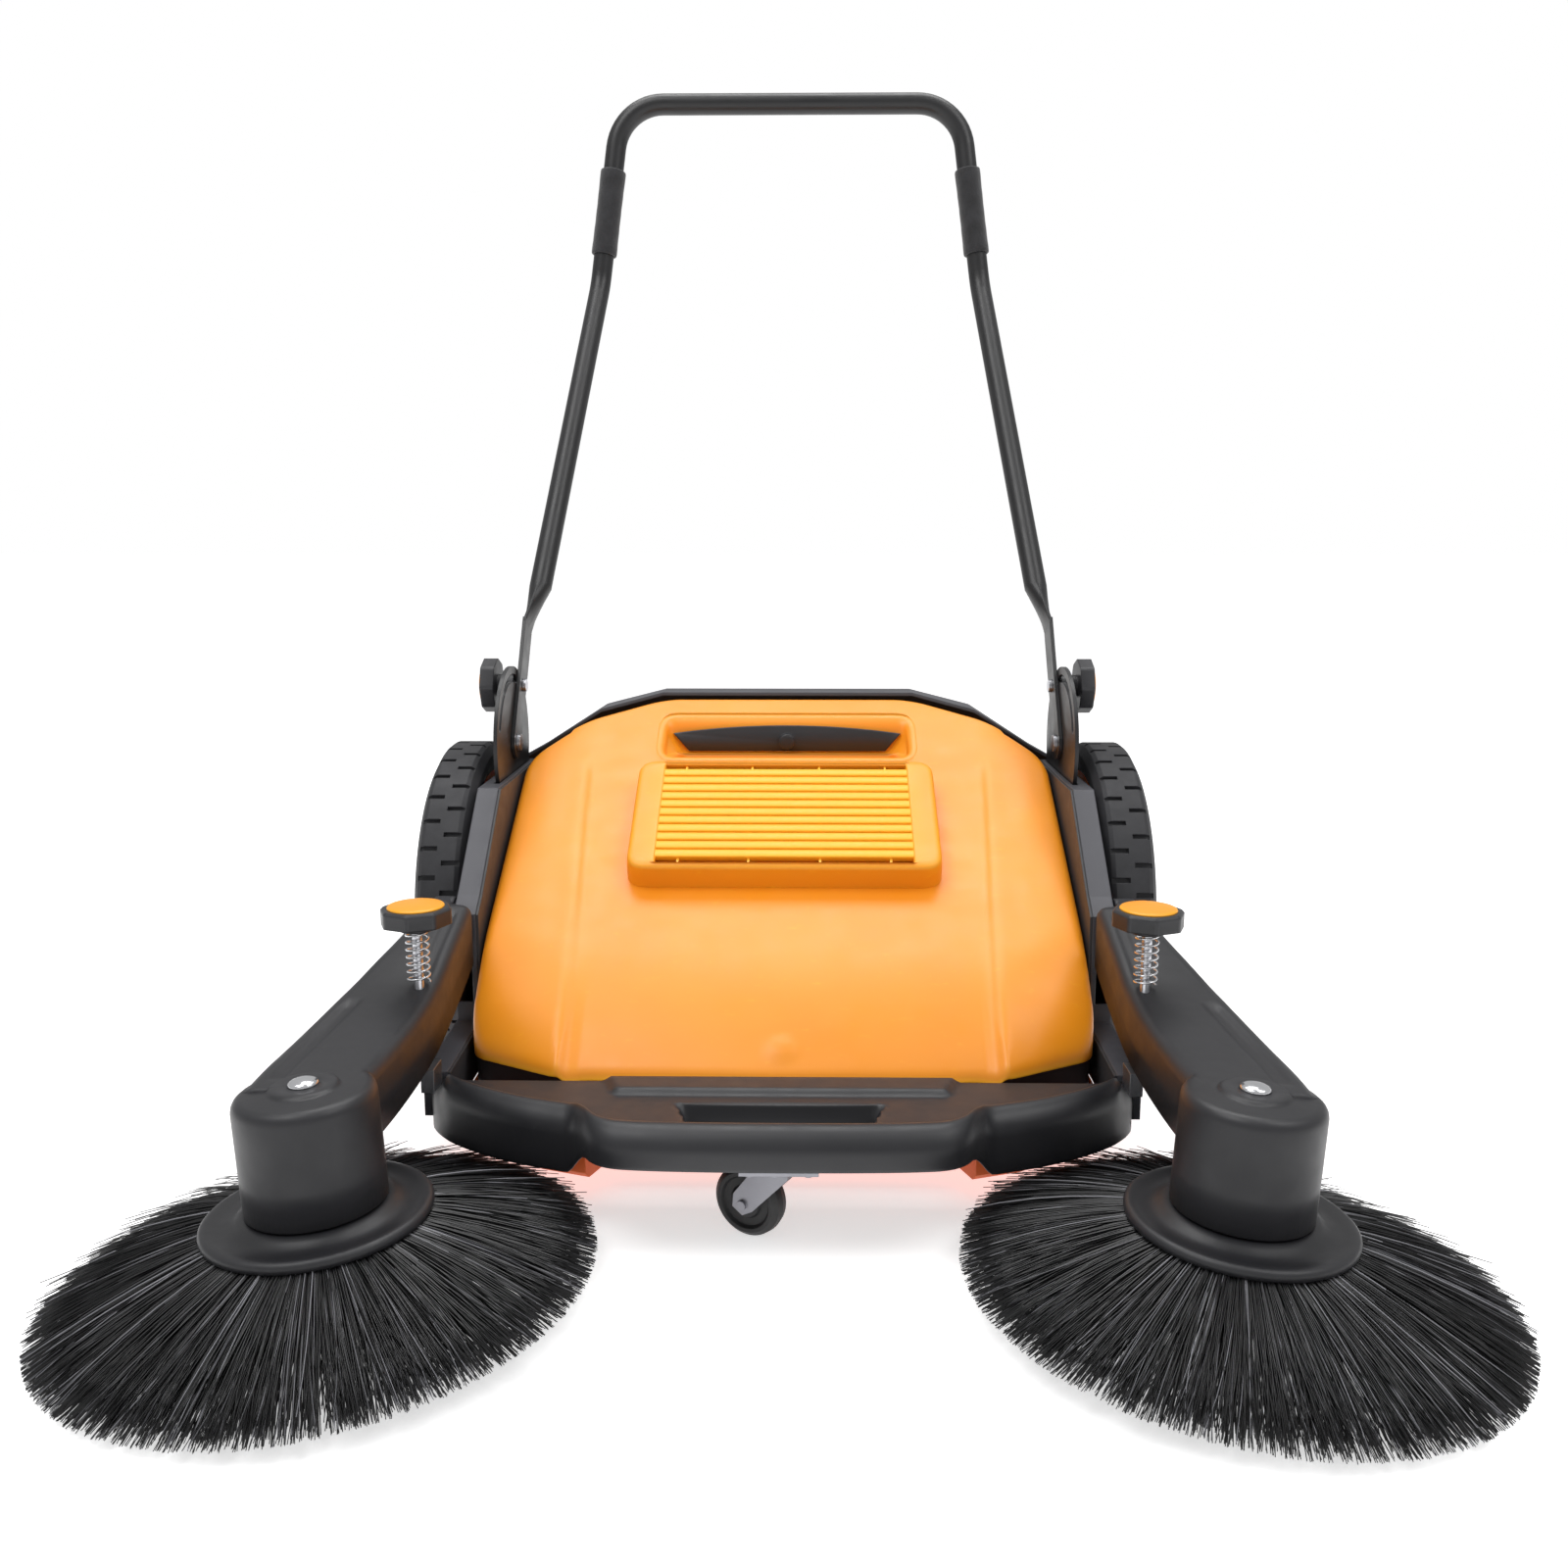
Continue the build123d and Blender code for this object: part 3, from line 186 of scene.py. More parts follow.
def cloth(name):
    """Pleated filter cloth with a crossed weave."""
    n = Nodes(name)
    weave = n.add("ShaderNodeTexWave", Vector=n.place, Scale=420.0, Distortion=1.0).outputs["Fac"]
    tone = n.mix(weave, colour(205, 204, 198), colour(172, 170, 162))
    return n.set(Base_Color=tone, Roughness=0.9, Normal=n.bump(weave, 0.5, 0.0004))


orange = moulded("orange_plastic", colour(250, 156, 28), colour(246, 148, 24),
                 0.38, 2200.0, 0.03, 0.002, 0.12)
amber = moulded("grille_plastic", colour(250, 162, 28), colour(246, 154, 24),
                0.42, 2200.0, 0.04, 0.0012, 0.08)
hub_orange = moulded("hub_plastic", colour(226, 92, 14), colour(216, 84, 12), 0.4, 2200.0, 0.04, 0.0015, 0.1)
pan_orange = moulded("pan_plastic", colour(196, 84, 20), colour(186, 76, 16), 0.5, 2200.0, 0.04, 0.0015)
black = moulded("black_plastic", colour(38, 38, 41), colour(32, 32, 35), 0.42, 1500.0, 0.10, 0.0022)
panel_black = moulded("panel_plastic", colour(62, 62, 67), colour(54, 54, 58), 0.45, 1500.0, 0.10, 0.002)
inner_grey = moulded("inner_plastic", colour(46, 46, 48), colour(38, 38, 40), 0.5, 1500.0, 0.08, 0.001)
paint = moulded("black_paint", colour(20, 20, 22), colour(16, 16, 18), 0.4, 700.0, 0.04, 0.0008, 0.12)
tyre_rubber = rubber("tyre_rubber", colour(40, 40, 43), 0.6)
soft_rubber = rubber("soft_rubber", colour(26, 26, 27), 0.5)
zinc = metal("zinc_steel", colour(206, 207, 212), 0.25)
chrome = metal("polished_steel", colour(232, 233, 236), 0.1, 0.03)
dark_zinc = metal("caster_steel", colour(150, 150, 156), 0.35)
fibre = nylon("nylon_bristle")
grip_foam = foam("grip_foam")
filter_cloth = cloth("filter_cloth")

looks = {
    "hopper_hood": orange, "vent_grille": amber, "hopper_latch": black, "hopper_bin": inner_grey,
    "hopper_filter": filter_cloth, "hopper_seal": soft_rubber, "belt_covers": inner_grey,
    "rear_deck": panel_black, "rear_flap": soft_rubber, "floor_pan": pan_orange, "front_bumper": black,
    "shaft_bearings": inner_grey, "wheel_axle": zinc, "handle_quadrants": paint, "handle_tube": paint,
    "pivot_pins": zinc, "adjuster_lugs": zinc, "caster_plate": dark_zinc, "caster_fork": dark_zinc,
    "caster_wheel": soft_rubber, "panel_screws": zinc, "drive_gear": inner_grey, "roller_core": inner_grey,
    "roller_pinion": inner_grey, "roller_bristles": fibre, "foam_grips": grip_foam,
}
for side, tag in sides:
    looks.update({
        f"side_panel_{tag}": panel_black, f"drive_belt_{tag}": soft_rubber, f"arm_spring_{tag}": chrome,
        f"clamp_knob_{tag}": black, f"clamp_cap_{tag}": orange, f"clamp_bolt_{tag}": zinc,
        f"tyre_{tag}": tyre_rubber, f"wheel_hub_{tag}": hub_orange, f"drive_pulley_{tag}": inner_grey,
        f"brush_arm_{tag}": black, f"post_rivet_{tag}": chrome, f"brush_disc_{tag}": black,
        f"brush_spindle_{tag}": zinc, f"brush_bristles_{tag}": fibre, f"adjust_knob_{tag}": black,
        f"adjust_cap_{tag}": amber, f"adjust_screw_{tag}": zinc,
    })
for name, node in nodes.items():
    node.data.materials.clear()
    node.data.materials.append(looks[name])


# ------------------------------------------------------------------ mesh helpers
def piece(name, body, material, replaced=(), smooth=True):
    """An empty mesh piece set up on its body; returns (object, bmesh)."""
    mesh = bpy.data.meshes.new(name)
    made = bpy.data.objects.new(name, mesh)
    bpy.context.scene.collection.objects.link(made)
    mesh.materials.append(material)
    made["smooth"] = smooth
    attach(made, body)
    if replaced:
        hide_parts(*replaced)
    return made, bmesh.new()


def close(made, work, angle=40.0):
    """Write the bmesh into the piece with smooth shading up to an edge angle."""
    bmesh.ops.recalc_face_normals(work, faces=work.faces)
    work.to_mesh(made.data)
    work.free()
    for face in made.data.polygons:
        face.use_smooth = True
    made.data.set_sharp_from_angle(angle=math.radians(angle))
    del made["smooth"]


def skin(work, loops, closed=True, cap_first=False, cap_last=False):
    """Faces between successive loops of points; returns the loops as vertices."""
    rows = [[work.verts.new(p) for p in loop] for loop in loops]
    count = len(rows[0])
    for first, second in zip(rows, rows[1:]):
        for i in range(count if closed else count - 1):
            j = (i + 1) % count
            work.faces.new((first[i], first[j], second[j], second[i]))
    if cap_first:
        work.faces.new(rows[0][::-1])
    if cap_last:
        work.faces.new(rows[-1])
    return rows


def lathe(work, profile, place, count=48, cap=True):
    """Turn (radius, height) points about the local Z of a placement matrix."""
    loops = []
    for radius, height in profile:
        loop = []
        for i in range(count):
            turn = 2 * math.pi * i / count
            loop.append(place @ Vector((radius * math.cos(turn), radius * math.sin(turn), height)))
        loops.append(loop)
    return skin(work, loops, True, cap, cap)


def rounded(corners, radius, pieces=6):
    """Outline of a polygon with its corners rounded."""
    line = []
    count = len(corners)
    for i in range(count):
        here = Vector(corners[i])
        back = (Vector(corners[i - 1]) - here)
        on = (Vector(corners[(i + 1) % count]) - here)
        cut = min(radius, 0.45 * back.length, 0.45 * on.length)
        start, stop = here + back.normalized() * cut, here + on.normalized() * cut
        for k in range(pieces + 1):
            t = k / pieces
            line.append(start * (1 - t) ** 2 + here * 2 * t * (1 - t) + stop * t ** 2)
    return line


def resample(line, step):
    """Closed outline with evenly spaced points."""
    made = []
    for i, here in enumerate(line):
        on = line[(i + 1) % len(line)]
        parts = max(1, round((on - here).length / step))
        made += [here.lerp(on, k / parts) for k in range(parts)]
    return made


def ease(value):
    """Smooth step from 0 to 1."""
    value = min(1.0, max(0.0, value))
    return value * value * (3 - 2 * value)


# ------------------------------------------------------------------ hopper hood, millimetres
hood_corners = [
    (-275, 288), (-195, 333.5), (-178, 327.5), (0, 331), (178, 327.5), (195, 333.5), (275, 288), (283, 262),
    (283, -26), (226, -74), (139, -110), (-139, -110), (-226, -74), (-283, -26), (-283, 262),
]
hood_bottom, hood_back_bottom = 92.0, 264.0
hood_rear_top, hood_bend_top = 372.0, 140.0
fall = (hood_rear_top - hood_bend_top) / 400.0


def hood_front(x):
    """How far ahead the hood's foot is: swept back outside the two shoulders."""
    x = abs(x)
    centre = 331.0 - 3.5 * (x / 178) ** 2
    block = 333.5 - 45.5 * (x - 195) / 80
    return centre if x < 178 else (min(333.5, centre + 6.0 * (x - 178) / 17) if x < 195 else block)


def hood_height(x, d, rim):
    """Height of the hood's skin; rim is the distance in from the outline."""
    side = abs(x)
    crease = 212.0 - 22.0 * ease((d + 60) / 390)
    shoulder = ease((side - crease + 5) / 11)
    slope_line = hood_rear_top - (d + 110.0) * fall
    out = max(0.0, side - crease) / (283 - crease)
    slope_line -= 7.0 * out ** 1.7
    front_line = 98.0 + (hood_front(x) - d) * (0.98 + 0.26 * max(0.0, side - 195) / 80)
    gap = 26.0
    blend = max(0.0, min(1.0, 0.5 + 0.5 * (front_line - slope_line) / gap))
    z = front_line * (1 - blend) + slope_line * blend - gap * blend * (1 - blend)
    z -= 4.6 * (1 - shoulder) * ease((d + 34) / 40)
    z += 0.6 * math.exp(-((side - crease - 9) / 9) ** 2) * ease((d + 34) / 40)
    boss = math.hypot(x, (d - 312) * 1.4)
    z += 2.2 * ease((15 - boss) / 6)
    turn = 4.0 if d < -60 else (8.0 if d < 250 else 6.0)
    if rim < turn:
        z -= turn - math.sqrt(turn * turn - (turn - rim) ** 2)
    return z


def rim_distance(point, line):
    """Distance from a point to a closed outline."""
    best = 1e9
    for i, here in enumerate(line):
        edge = line[(i + 1) % len(line)] - here
        t = max(0.0, min(1.0, (point - here).dot(edge) / max(edge.length_squared, 1e-9)))
        best = min(best, (point - here - edge * t).length)
    return best


def spot(x, d, z):
    """Row-frame point from millimetres across, ahead of the axle and up."""
    return Vector((x * mm, ahead(d), z * mm))


def frame_rect(half_x, low, high, radius, pieces=6):
    """Rounded rectangle in the hood's plan."""
    return rounded([(-half_x, high), (half_x, high), (half_x, low), (-half_x, low)], radius, pieces)


def build_hood():
    """The moulded shell, with the hand recess and vent window cut through it."""
    made, work = piece("hood_shell", "hopper", orange, ("hopper_hood",))
    coarse = rounded(hood_corners, 22.0, 8)
    line = resample(coarse, 6.0)
    core = [Vector((max(-110.0, min(110.0, p.x)), 59.0)) for p in line]
    steps = [0.0, 0.004, 0.009, 0.016, 0.025, 0.035] + [0.05 + 0.019 * k for k in range(51)]
    loops = []
    for lower in (1.0, 0.66, 0.33):
        loop = []
        for p in line:
            top = hood_height(p.x, p.y, 0.0)
            base = hood_bottom + (hood_back_bottom - hood_bottom) * ease((70 - p.y) / 12)
            loop.append(spot(p.x, p.y, min(top, base) * lower + top * (1 - lower)))
        loops.append(loop)
    for t in steps:
        loop = []
        for p, c in zip(line, core):
            q = p.lerp(c, t)
            rim = 0.0 if t == 0 else (rim_distance(q, coarse) if t < 0.35 else 99.0)
            loop.append(spot(q.x, q.y, hood_height(q.x, q.y, rim)))
        loops.append(loop)
    skin(work, loops)
    bmesh.ops.remove_doubles(work, verts=work.verts, dist=0.0004)
    close(made, work, 50.0)
    thick = made.modifiers.new("wall", "SOLIDIFY")
    thick.thickness, thick.offset = shell_wall, -1.0
    openings = (("recess", 141.0, -86.0, -12.0, 20.0), ("window", 131.0, 8.0, 110.0, 8.0))
    for label, half, low, high, radius in openings:
        cutter = bpy.data.objects.new(f"cut_{label}", bpy.data.meshes.new(f"cut_{label}"))
        bpy.context.scene.collection.objects.link(cutter)
        cut = bmesh.new()
        ring = frame_rect(half, low, high, radius)
        skin(cut, [[spot(p.x, p.y, z) for p in ring] for z in (150.0, 420.0)], True, True, True)
        bmesh.ops.recalc_face_normals(cut, faces=cut.faces)
        cut.to_mesh(cutter.data)
        cut.free()
        tool = made.modifiers.new(label, "BOOLEAN")
        tool.operation, tool.object, tool.solver = "DIFFERENCE", cutter, "EXACT"
    shape = bpy.data.meshes.new_from_object(made.evaluated_get(bpy.context.evaluated_depsgraph_get()))
    made.modifiers.clear()
    made.data = shape
    for label, *_ in openings:
        bpy.data.objects.remove(bpy.data.objects[f"cut_{label}"])
    shape.set_sharp_from_angle(angle=math.radians(50))

    made, work = piece("hood_recess", "hopper", orange)
    loops = []
    lip = ((12.0, -0.8), (10.5, 0.3), (8.0, 0.5), (5.0, -0.4), (2.5, -2.6), (0.8, -6.0), (0.0, -10.0))
    for grow, drop in lip:
        ring = frame_rect(132 + grow, -72 - grow, -24 + grow, 10 + grow)
        loops.append([spot(p.x, p.y, hood_height(p.x, p.y, 99) + drop) for p in ring])
    foot = ((121.0, 0.0, 321.0), (118.0, 0.6, 317.4), (115.5, 2.2, 315.2), (112.0, 5.0, 314.3))
    for half, shrink, z in foot:
        ring = frame_rect(half, -72 + shrink, -24 - shrink, 10 - shrink / 2)
        loops.append([spot(p.x, p.y, z) for p in ring])
    skin(work, loops, True, False, True)
    close(made, work)


def build_latch():
    """Flap at the back of the hand recess: arched top edge, and a round finger hook in the middle."""
    made, work = piece("latch_flap", "latch", black, ("hopper_latch",))
    loops = []
    for d, inset in ((-70.4, 1.0), (-69.6, 0.0), (-68.0, 0.0), (-67.2, 1.0)):
        loop = [spot(-110 + inset, d, 317.2 + inset), spot(110 - inset, d, 317.2 + inset)]
        for k in range(25):
            across = 127 - inset - (254 - 2 * inset) * k / 24
            loop.append(spot(across, d, 337 - inset + 9 * (1 - (across / 127) ** 2)))
        loops.append(loop)
    skin(work, loops, True, True, True)
    hook = Matrix.Translation(spot(0, -67.4, 329)) @ Euler((math.radians(90), 0, 0)).to_matrix().to_4x4()
    profile = [(8.4, 0.0), (8.0, 4.0), (8.2, 8.0), (8.8, 9.6), (8.6, 11.0), (7.4, 11.9), (3.0, 12.2)]
    lathe(work, [(r * mm, h * mm) for r, h in profile], hook, 32)
    close(made, work, 40.0)


build_hood()
build_latch()


# ------------------------------------------------------------------ vent grille
def build_grille():
    """Slab on the hood's centre panel: rolled frame, twelve thin slots between slats, four ties."""
    tilt = math.atan(fall)
    foot = spot(0, 80, hood_rear_top - 190 * fall - 4.6)
    place = Matrix.Translation(foot) @ Euler((tilt, 0, 0)).to_matrix().to_4x4()
    made, work = piece("grille_frame", "hopper", amber, ("vent_grille",))
    tall, pitch, slot = 27.0, 12.4, 2.6
    opening = 6 * pitch + slot / 2

    def ring(half_x, half_y, radius, z, shift=0.0):
        return [place @ (Vector((p.x, p.y + shift, z)) * mm) for p in rounded(
            [(-half_x, half_y), (half_x, half_y), (half_x, -half_y), (-half_x, -half_y)], radius, 10)]

    outer = [(155, 83, 20, -1.0), (155, 83, 20, 0.5), (154.6, 82.6, 20, 12.0), (154.0, 82.0, 20, 22.0),
             (153.6, 81.6, 20, 24.0), (152.4, 80.4, 19, 25.8), (150.2, 78.2, 17, 26.8),
             (147.0, 75.4, 15, tall)]
    inner = [(127.5, opening, 2.2, tall + 0.2), (126.2, opening - 0.9, 2.0, tall - 0.8),
             (125.6, opening - 1.2, 1.8, tall - 3), (125.6, opening - 1.2, 1.8, 16.0)]
    skin(work, [ring(*row) for row in outer + inner])
    close(made, work, 35.0)
    thick = made.modifiers.new("wall", "SOLIDIFY")
    thick.thickness, thick.offset = thin_wall, -1.0

    made, work = piece("grille_slats", "hopper", amber)
    section = [(-5.0, -6.5), (-5.0, -1.3), (-4.7, -0.5), (-4.0, -0.1), (0.0, 0.1),
               (4.0, -0.1), (4.7, -0.5), (5.0, -1.3), (5.0, -6.5)]
    for row in range(11):
        middle = (row - 5) * pitch
        ends = []
        for x in (-126.6, 126.6):
            ends.append([place @ (Vector((x, middle + y, tall + z)) * mm) for y, z in section])
        skin(work, ends, True, True, True)
    bar = ((-1.2, -7.0), (-1.2, -3.2), (1.2, -3.2), (1.2, -7.0))
    for x in (-104.0, -35.0, 35.0, 104.0):
        tie = []
        for y in (-opening + 0.2, opening - 0.2):
            tie.append([place @ (Vector((x + dx, y, tall + z)) * mm) for dx, z in bar])
        skin(work, tie, True, True, True)
    close(made, work, 50.0)


build_grille()


# ------------------------------------------------------------------ bristles
def strand(work, path, thick, tip):
    """One three-sided tapering filament along a path."""
    rows = []
    for i, point in enumerate(path):
        run = (path[min(i + 1, len(path) - 1)] - path[max(i - 1, 0)]).normalized()
        flat = run.cross(Vector((0.0, 0.0, 1.0)))
        flat = flat.normalized() if flat.length > 1e-4 else Vector((1.0, 0.0, 0.0))
        up = flat.cross(run)
        size = thick + (tip - thick) * i / (len(path) - 1)
        rows.append([point + (flat * math.cos(a) + up * math.sin(a)) * size for a in (1.57, 3.66, 5.76)])
    skin(work, rows, True, False, True)


def brush_place(side):
    """Row-frame placement of a side brush, origin on the disc's top face."""
    tilt = Euler((0, side * math.radians(3), 0)).to_matrix().to_4x4()
    return Matrix.Translation((side * 0.337, ahead(522), 0.072)) @ tilt


def build_side_bristles(side, tag):
    """Ragged cone of filaments fanning out from under the disc."""
    dice = random.Random(41 + side)
    made, work = piece(f"bristle_ring_{tag}", f"brush_{tag}", fibre, (f"brush_bristles_{tag}",))
    place = brush_place(side)
    for _ in range(strands_per_brush):
        layer = dice.random()
        turn = 2 * math.pi * dice.random()
        clump = math.sin(turn * tufts_per_brush) * 0.012
        turn += clump
        start = 48 + 26 * layer
        reach = (160 + 39.6 * layer ** 0.5) * (1.0 - 0.06 * dice.random() ** 2)
        if layer > 0.6:
            reach = 199.6 - 8.0 * dice.random() ** 2
        floor = -72 + 0.8 + 0.0525 * reach
        low = floor + (0.6 + 20.0 * layer ** 4 * dice.random() ** 2) * (reach / 200) ** 2
        fan = turn + dice.gauss(0, 0.035)
        lift = 7.0 * layer * dice.random()
        path = []
        bend = 0.5 * (low - 10.5) + 5.0 + lift * 0.5
        for k in range(6):
            t = k / 5
            radius = start * (1 - t) ** 2 + 0.5 * (start + reach) * 2 * t * (1 - t) + reach * t * t
            height = (-10.5) * (1 - t) ** 2 + bend * 2 * t * (1 - t) + low * t * t
            angle = turn + (fan - turn) * t * t
            path.append(place @ (Vector((radius * math.cos(angle), radius * math.sin(angle), height)) * mm))
        strand(work, path, 0.00075, 0.00035)
    close(made, work, 180.0)


def build_roller_bristles():
    """Six rows of tufts round the roller's core."""
    dice = random.Random(7)
    made, work = piece("roller_tufts", "roller", fibre, ("roller_bristles",))
    centre = Vector((0.0, ahead(-45), 0.07814))
    for row in range(6):
        for i in range(tufts_per_row):
            x = -0.268 + 0.536 * (i + dice.random() * 0.8) / tufts_per_row
            angle = math.radians(60 * row) + dice.uniform(-0.1, 0.1)
            lean = angle + dice.uniform(-0.05, 0.05)
            end = 0.0735 - 0.004 * dice.random()
            path = [centre + Vector((x + dice.uniform(-1, 1) * 0.001 * k, math.cos(a) * r, math.sin(a) * r))
                    for k, (a, r) in enumerate(((angle, 0.029), ((angle + lean) / 2, 0.05), (lean, end)))]
            strand(work, path, 0.0009, 0.0006)
    close(made, work, 180.0)


for side, tag in sides:
    build_side_bristles(side, tag)
build_roller_bristles()


# ------------------------------------------------------------------ brush arms and discs
def along(table, d):
    """Smooth value at d from (d, value) points."""
    for (d0, v0), (d1, v1) in zip(table, table[1:]):
        if d <= d1 or (d1, v1) == table[-1]:
            i = table.index((d0, v0))
            before = table[max(i - 1, 0)]
            after = table[min(i + 2, len(table) - 1)]
            m0 = (v1 - before[1]) / (d1 - before[0]) * (d1 - d0)
            m1 = (after[1] - v0) / (after[0] - d0) * (d1 - d0)
            t = (d - d0) / (d1 - d0)
            return (v0 * (2 * t ** 3 - 3 * t * t + 1) + m0 * (t ** 3 - 2 * t * t + t)
                    + v1 * (3 * t * t - 2 * t ** 3) + m1 * (t ** 3 - t * t))


arm_inner = [(226, 289), (300, 288.5), (370, 289), (450, 296), (540, 305)]
arm_outer = [(226, 333), (280, 347), (370, 371), (470, 387), (540, 389)]
arm_top = [(226, 217), (300, 196), (355, 180), (440, 165.5), (540, 159)]
arm_base = [(226, 160), (330, 132), (440, 112), (540, 106)]


def arm_section(d, side):
    """Open section of the beam, from its inner lower edge over the top to its outer lower edge."""
    x0, x1 = along(arm_inner, d), along(arm_outer, d)
    top, base = along(arm_top, d), along(arm_base, d)
    line = [(x0, base), (x0, base * 0.5 + top * 0.5), (x0, top - 10)]
    turns = (0.26, 0.52, 0.79, 1.05, 1.31)
    line += [(x0 + 10 - 10 * math.cos(a), top - 10 + 10 * math.sin(a)) for a in turns]
    count = 30
    for k in range(count + 1):
        x = x0 + 10 + (x1 - x0 - 22) * k / count
        z = top + 0.8 * math.sin(math.pi * k / count)
        long_groove = ease((d - 372) / 10) * ease((512 - d) / 14)
        short_groove = ease((d - 236) / 10) * ease((344 - d) / 10)
        z -= 2.6 * long_groove * ease(1.6 - abs(x - (x1 - 21)) / 5.5)
        z -= 1.8 * short_groove * ease(1.6 - abs(x - (x0 + 15)) / 4)
        line.append((x, z))
    line += [(x1 - 12 + 12 * math.sin(a), top - 12 + 12 * math.cos(a)) for a in turns]
    line += [(x1, top - 12), (x1, base * 0.5 + top * 0.5), (x1, base)]
    return [spot(side * x, d, z) for x, z in line]


def build_arm(side, tag):
    """Hollow beam with a sunk groove, the brush post and the hinge barrel."""
    made, work = piece(f"arm_shell_{tag}", f"arm_{tag}", black, (f"brush_arm_{tag}",))
    skin(work, [arm_section(226 + 4 * k, side) for k in range(76)], False)
    post = [(51.0, 1.6), (51.0, 30.0), (51.0, 60.0), (51.0, 79.0), (50.4, 82.3), (48.8, 85.2), (46.2, 87.2),
            (43.0, 88.0), (27.0, 88.4), (25.4, 88.9), (24.4, 90.0), (23.0, 90.8), (20.0, 91.0), (6.0, 91.0)]
    place = brush_place(side)
    lathe(work, [(r * mm, h * mm) for r, h in post], place, 72, False)
    across = Euler((0, math.pi / 2, 0)).to_matrix().to_4x4()
    hinge = Matrix.Translation((side * 0.320, ahead(200), 0.205)) @ across
    barrel = ((6.1, -9.6), (12, -9.6), (13, -8.6), (13, 8.6), (12, 9.6), (6.1, 9.6))
    lathe(work, [(r * mm, h * mm) for r, h in barrel], hinge, 32, False)
    web = []
    for d, low, high in ((203, 194, 217), (212, 190, 218), (221, 184, 218), (229, 176, 216)):
        outline = ((311, low), (311, high - 3), (314, high), (326, high), (329, high - 3), (329, low))
        web.append([spot(side * x, d, z) for x, z in outline])
    skin(work, web, True, True, True)
    close(made, work, 45.0)
    thick = made.modifiers.new("wall", "SOLIDIFY")
    thick.thickness, thick.offset = thin_wall, -1.0


def build_disc(side, tag):
    """Brush plate with a hollowed top and a rolled rim."""
    made, work = piece(f"disc_plate_{tag}", f"brush_{tag}", black, (f"brush_disc_{tag}",))
    profile = [(7.2, -0.3), (50.0, -0.3), (54.0, -0.8), (57.0, -2.6), (60.5, -4.8), (65.0, -6.0),
               (70.0, -6.0), (74.5, -5.0), (78.0, -4.2), (80.6, -4.6), (82.4, -6.2), (83.0, -8.6),
               (82.6, -11.0), (81.0, -13.0),
               (78.0, -14.2), (72.0, -13.0), (62.0, -11.0), (30.0, -10.5), (7.2, -10.5)]
    lathe(work, [(r * mm, h * mm) for r, h in profile], brush_place(side), 96, False)
    close(made, work, 50.0)


for side, tag in sides:
    build_arm(side, tag)
    build_disc(side, tag)


# ------------------------------------------------------------------ bumper
def build_bumper():
    """Front moulding: rolled lip, projecting middle band, end blocks and a finger pocket."""
    made, work = piece("bumper_shell", "chassis", black, ("front_bumper",))
    face = [(0, 480), (60, 479.4), (110, 477), (132, 473), (146, 463), (156, 446), (165, 431), (180, 424),
            (211, 413), (245, 396), (276, 374), (293, 355), (300, 343)]
    half = 75
    loops = []
    for k in range(-half, half + 1):
        x = 300 * math.copysign((abs(k) / half) ** 0.94, k)
        across = abs(x)
        front = along(face, across)
        band = ease((172 - across) / 22)
        lip = 92 + (9 + 7 * band) * ease((291 - across) / 8)
        base = 48.5 + 26 * band
        plate = 91.0
        line = []
        room = front - 30 - 337
        for v in range(41):
            d = 337 + room * v / 40
            z = plate
            z += 4.5 * ease((152 - 0.35 * (d - 340) - across) / 6) * ease((368 - d) / 6)
            inside = ease((88 - 0.3 * (d - 380) - across) / 7) * ease((d - 384) / 6) * ease((424 - d) / 6)
            z -= 15 * inside
            line.append((d, z))
        rim = ((28, plate + 0.12 * (lip - plate)), (25.5, plate + 0.4 * (lip - plate)),
               (23, plate + 0.78 * (lip - plate)), (20.5, lip - 0.4), (18, lip), (14, lip - 0.9),
               (10, lip - 2.9), (6.5, lip - 5.8), (3.5, lip - 9.4), (1.4, lip - 13),
               (0.3, lip - 16.5), (0, lip - 20), (0, base + 12), (0, base + 4), (1, base + 1.2),
               (3.5, base), (9, base))
        for back, z in rim:
            line.append((front - back, z))
        loops.append([spot(x, d, z) for d, z in line])
    rows = skin(work, loops, False)
    for row in (rows[0], rows[-1]):
        foot = [work.verts.new((v.co.x, v.co.y, min(v.co.z, 0.060))) for v in row[:56]]
        for a, b, c, d in zip(row, row[1:], foot[1:], foot):
            if (c.co - b.co).length > 1e-5 or (d.co - a.co).length > 1e-5:
                work.faces.new((a, b, c, d))
    bmesh.ops.remove_doubles(work, verts=work.verts, dist=0.00005)
    close(made, work, 45.0)
    thick = made.modifiers.new("wall", "SOLIDIFY")
    thick.thickness, thick.offset = shell_wall, -1.0


build_bumper()


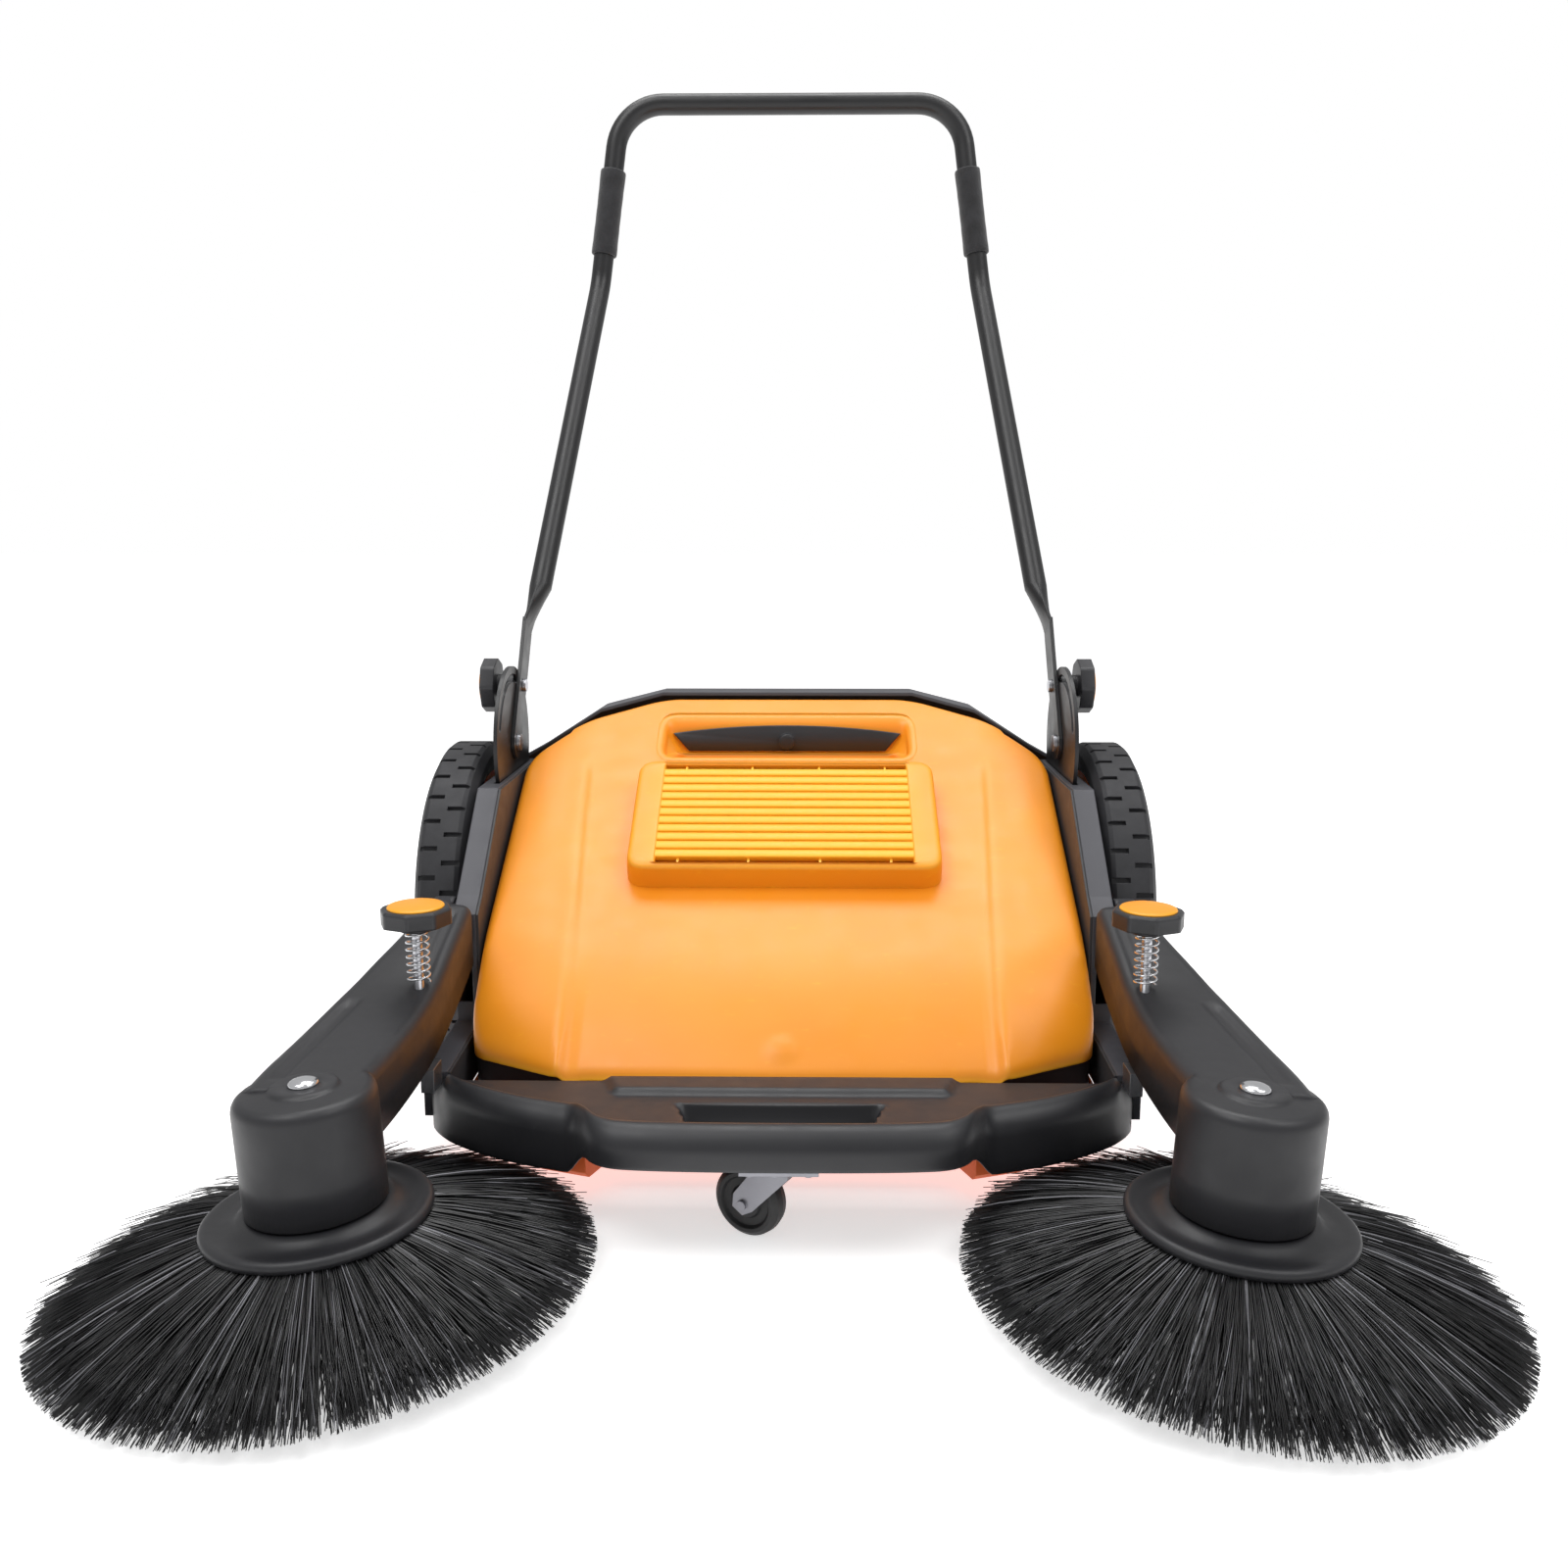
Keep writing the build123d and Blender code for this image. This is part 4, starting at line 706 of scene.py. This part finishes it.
# ------------------------------------------------------------------ grips, rivets and caps
def build_grips():
    """Two foam sleeves, slightly waisted, with rolled ends."""
    made, work = piece("grip_sleeves", "handle", grip_foam, ("foam_grips",))
    low, high = Vector((240.0, 366.0, 868.0)), Vector((212.0, 385.0, 1088.0))
    run = (high - low).normalized()
    for side in (-1, 1):
        base = low + run * ((905.0 - low.z) / run.z)
        direction = Vector((side * run.x, run.y, run.z))
        turn = direction.to_track_quat("Z", "Y").to_matrix().to_4x4()
        place = Matrix.Translation((side * base.x * mm, axle_y + base.y * mm, base.z * mm)) @ turn
        profile = [(12.55, 0.6), (14.4, 0.1), (15.5, 0.9), (15.9, 2.6)]
        for k in range(1, 14):
            waist = 0.5 * math.sin(math.pi * k / 14) - 0.12 * math.sin(k * 2.1)
            profile.append((15.9 - waist, 2.6 + 98.8 * k / 14))
        profile += [(15.9, 101.4), (15.5, 103.1), (14.4, 103.9), (12.55, 103.4)]
        lathe(work, [(r * mm, h * mm) for r, h in profile], place, 40, False)
    close(made, work, 60.0)


def build_domes():
    """Domed rivets on the posts and domed caps in the four knobs."""
    for side, tag in sides:
        made, work = piece(f"rivet_{tag}", f"arm_{tag}", chrome, (f"post_rivet_{tag}",))
        top = brush_place(side) @ Matrix.Translation((0, 0, 0.0911 / math.cos(math.radians(3)) - 0.00009))
        dome = [(11.0, 0.0), (11.0, 1.0), (10.6, 1.9), (9.2, 3.0), (7.0, 3.9), (4.0, 4.6), (1.2, 4.85)]
        lathe(work, [(r * mm, h * mm) for r, h in dome], top, 40)
        close(made, work)
        caps = (("adjust_cap", "adjuster", amber), ("clamp_cap", "clamp", orange))
        for kind, body, material in caps:
            low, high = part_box(f"{kind}_{tag}")
            mid = (low + high) / 2
            made, work = piece(f"dome_{kind}_{tag}", f"{body}_{tag}", material,
                               (f"{kind}_{tag}",))
            if kind == "adjust_cap":
                place = Matrix.Translation((mid.x, mid.y, low.z))
            else:
                face = low.x if side > 0 else high.x
                outward = Euler((0, side * math.pi / 2, 0)).to_matrix().to_4x4()
                place = Matrix.Translation((face, mid.y, mid.z)) @ outward
            dome = [(23.4, 0.0), (23.4, 0.7), (22.8, 1.5), (20.5, 2.2), (15.0, 2.9), (8.0, 3.3), (2.0, 3.45)]
            lathe(work, [(r * mm, h * mm) for r, h in dome], place, 48)
            close(made, work)


build_grips()
build_domes()

# ------------------------------------------------------------------ floor, light and camera
floor_mesh = bpy.data.meshes.new("floor")
floor = bpy.data.objects.new("floor", floor_mesh)
bpy.context.scene.collection.objects.link(floor)
floor_mesh.from_pydata([(-60, -60, 0), (60, -60, 0), (60, 60, 0), (-60, 60, 0)], [], [(0, 1, 2, 3)])
floor_look = Nodes("pale_floor")
floor_tone = floor_look.mix(floor_look.noise(3.0), (0.82, 0.82, 0.82, 1), (0.84, 0.84, 0.84, 1))
floor_mesh.materials.append(floor_look.set(
    Base_Color=floor_tone, Roughness=0.8,
    Emission_Color=(1.0, 1.0, 1.0, 1.0), Emission_Strength=0.6))

world = bpy.data.worlds.new("studio")
bpy.context.scene.world = world
world.use_nodes = True
sky = world.node_tree
seen = sky.nodes.new("ShaderNodeLightPath").outputs["Is Camera Ray"]
level = sky.nodes.new("ShaderNodeMapRange")
level.inputs["To Min"].default_value, level.inputs["To Max"].default_value = 0.5, 1.0
sky.links.new(seen, level.inputs["Value"])
sky.nodes["Background"].inputs["Color"].default_value = (1.0, 1.0, 1.0, 1.0)
sky.links.new(level.outputs[0], sky.nodes["Background"].inputs["Strength"])


def soft_light(name, place, aim, size, power):
    """Rectangular studio light."""
    data = bpy.data.lights.new(name, "AREA")
    data.shape, data.size, data.size_y, data.energy = "RECTANGLE", size[0], size[1], power
    made = bpy.data.objects.new(name, data)
    bpy.context.scene.collection.objects.link(made)
    made.location = place
    made.rotation_euler = (Vector(aim) - Vector(place)).to_track_quat("-Z", "Y").to_euler()


soft_light("key", (-1.2, -1.0, 3.0), (0, 0, 0.3), (1.6, 1.6), 34)
soft_light("fill", (1.6, -0.8, 2.6), (0, 0, 0.3), (1.4, 1.4), 20)
soft_light("top", (0, 0.8, 3.0), (0, 0, 0.3), (2.4, 1.2), 44)

camera_data = bpy.data.cameras.new("camera")
camera = bpy.data.objects.new("camera", camera_data)
bpy.context.scene.collection.objects.link(camera)
camera.location = (0.018, -1.29175, 0.548)
camera.rotation_euler = (math.radians(80), 0, math.radians(0.8))
camera_data.lens = 31.5
camera_data.sensor_width = 36
bpy.context.scene.camera = camera
bpy.context.scene.view_settings.view_transform = "Standard"
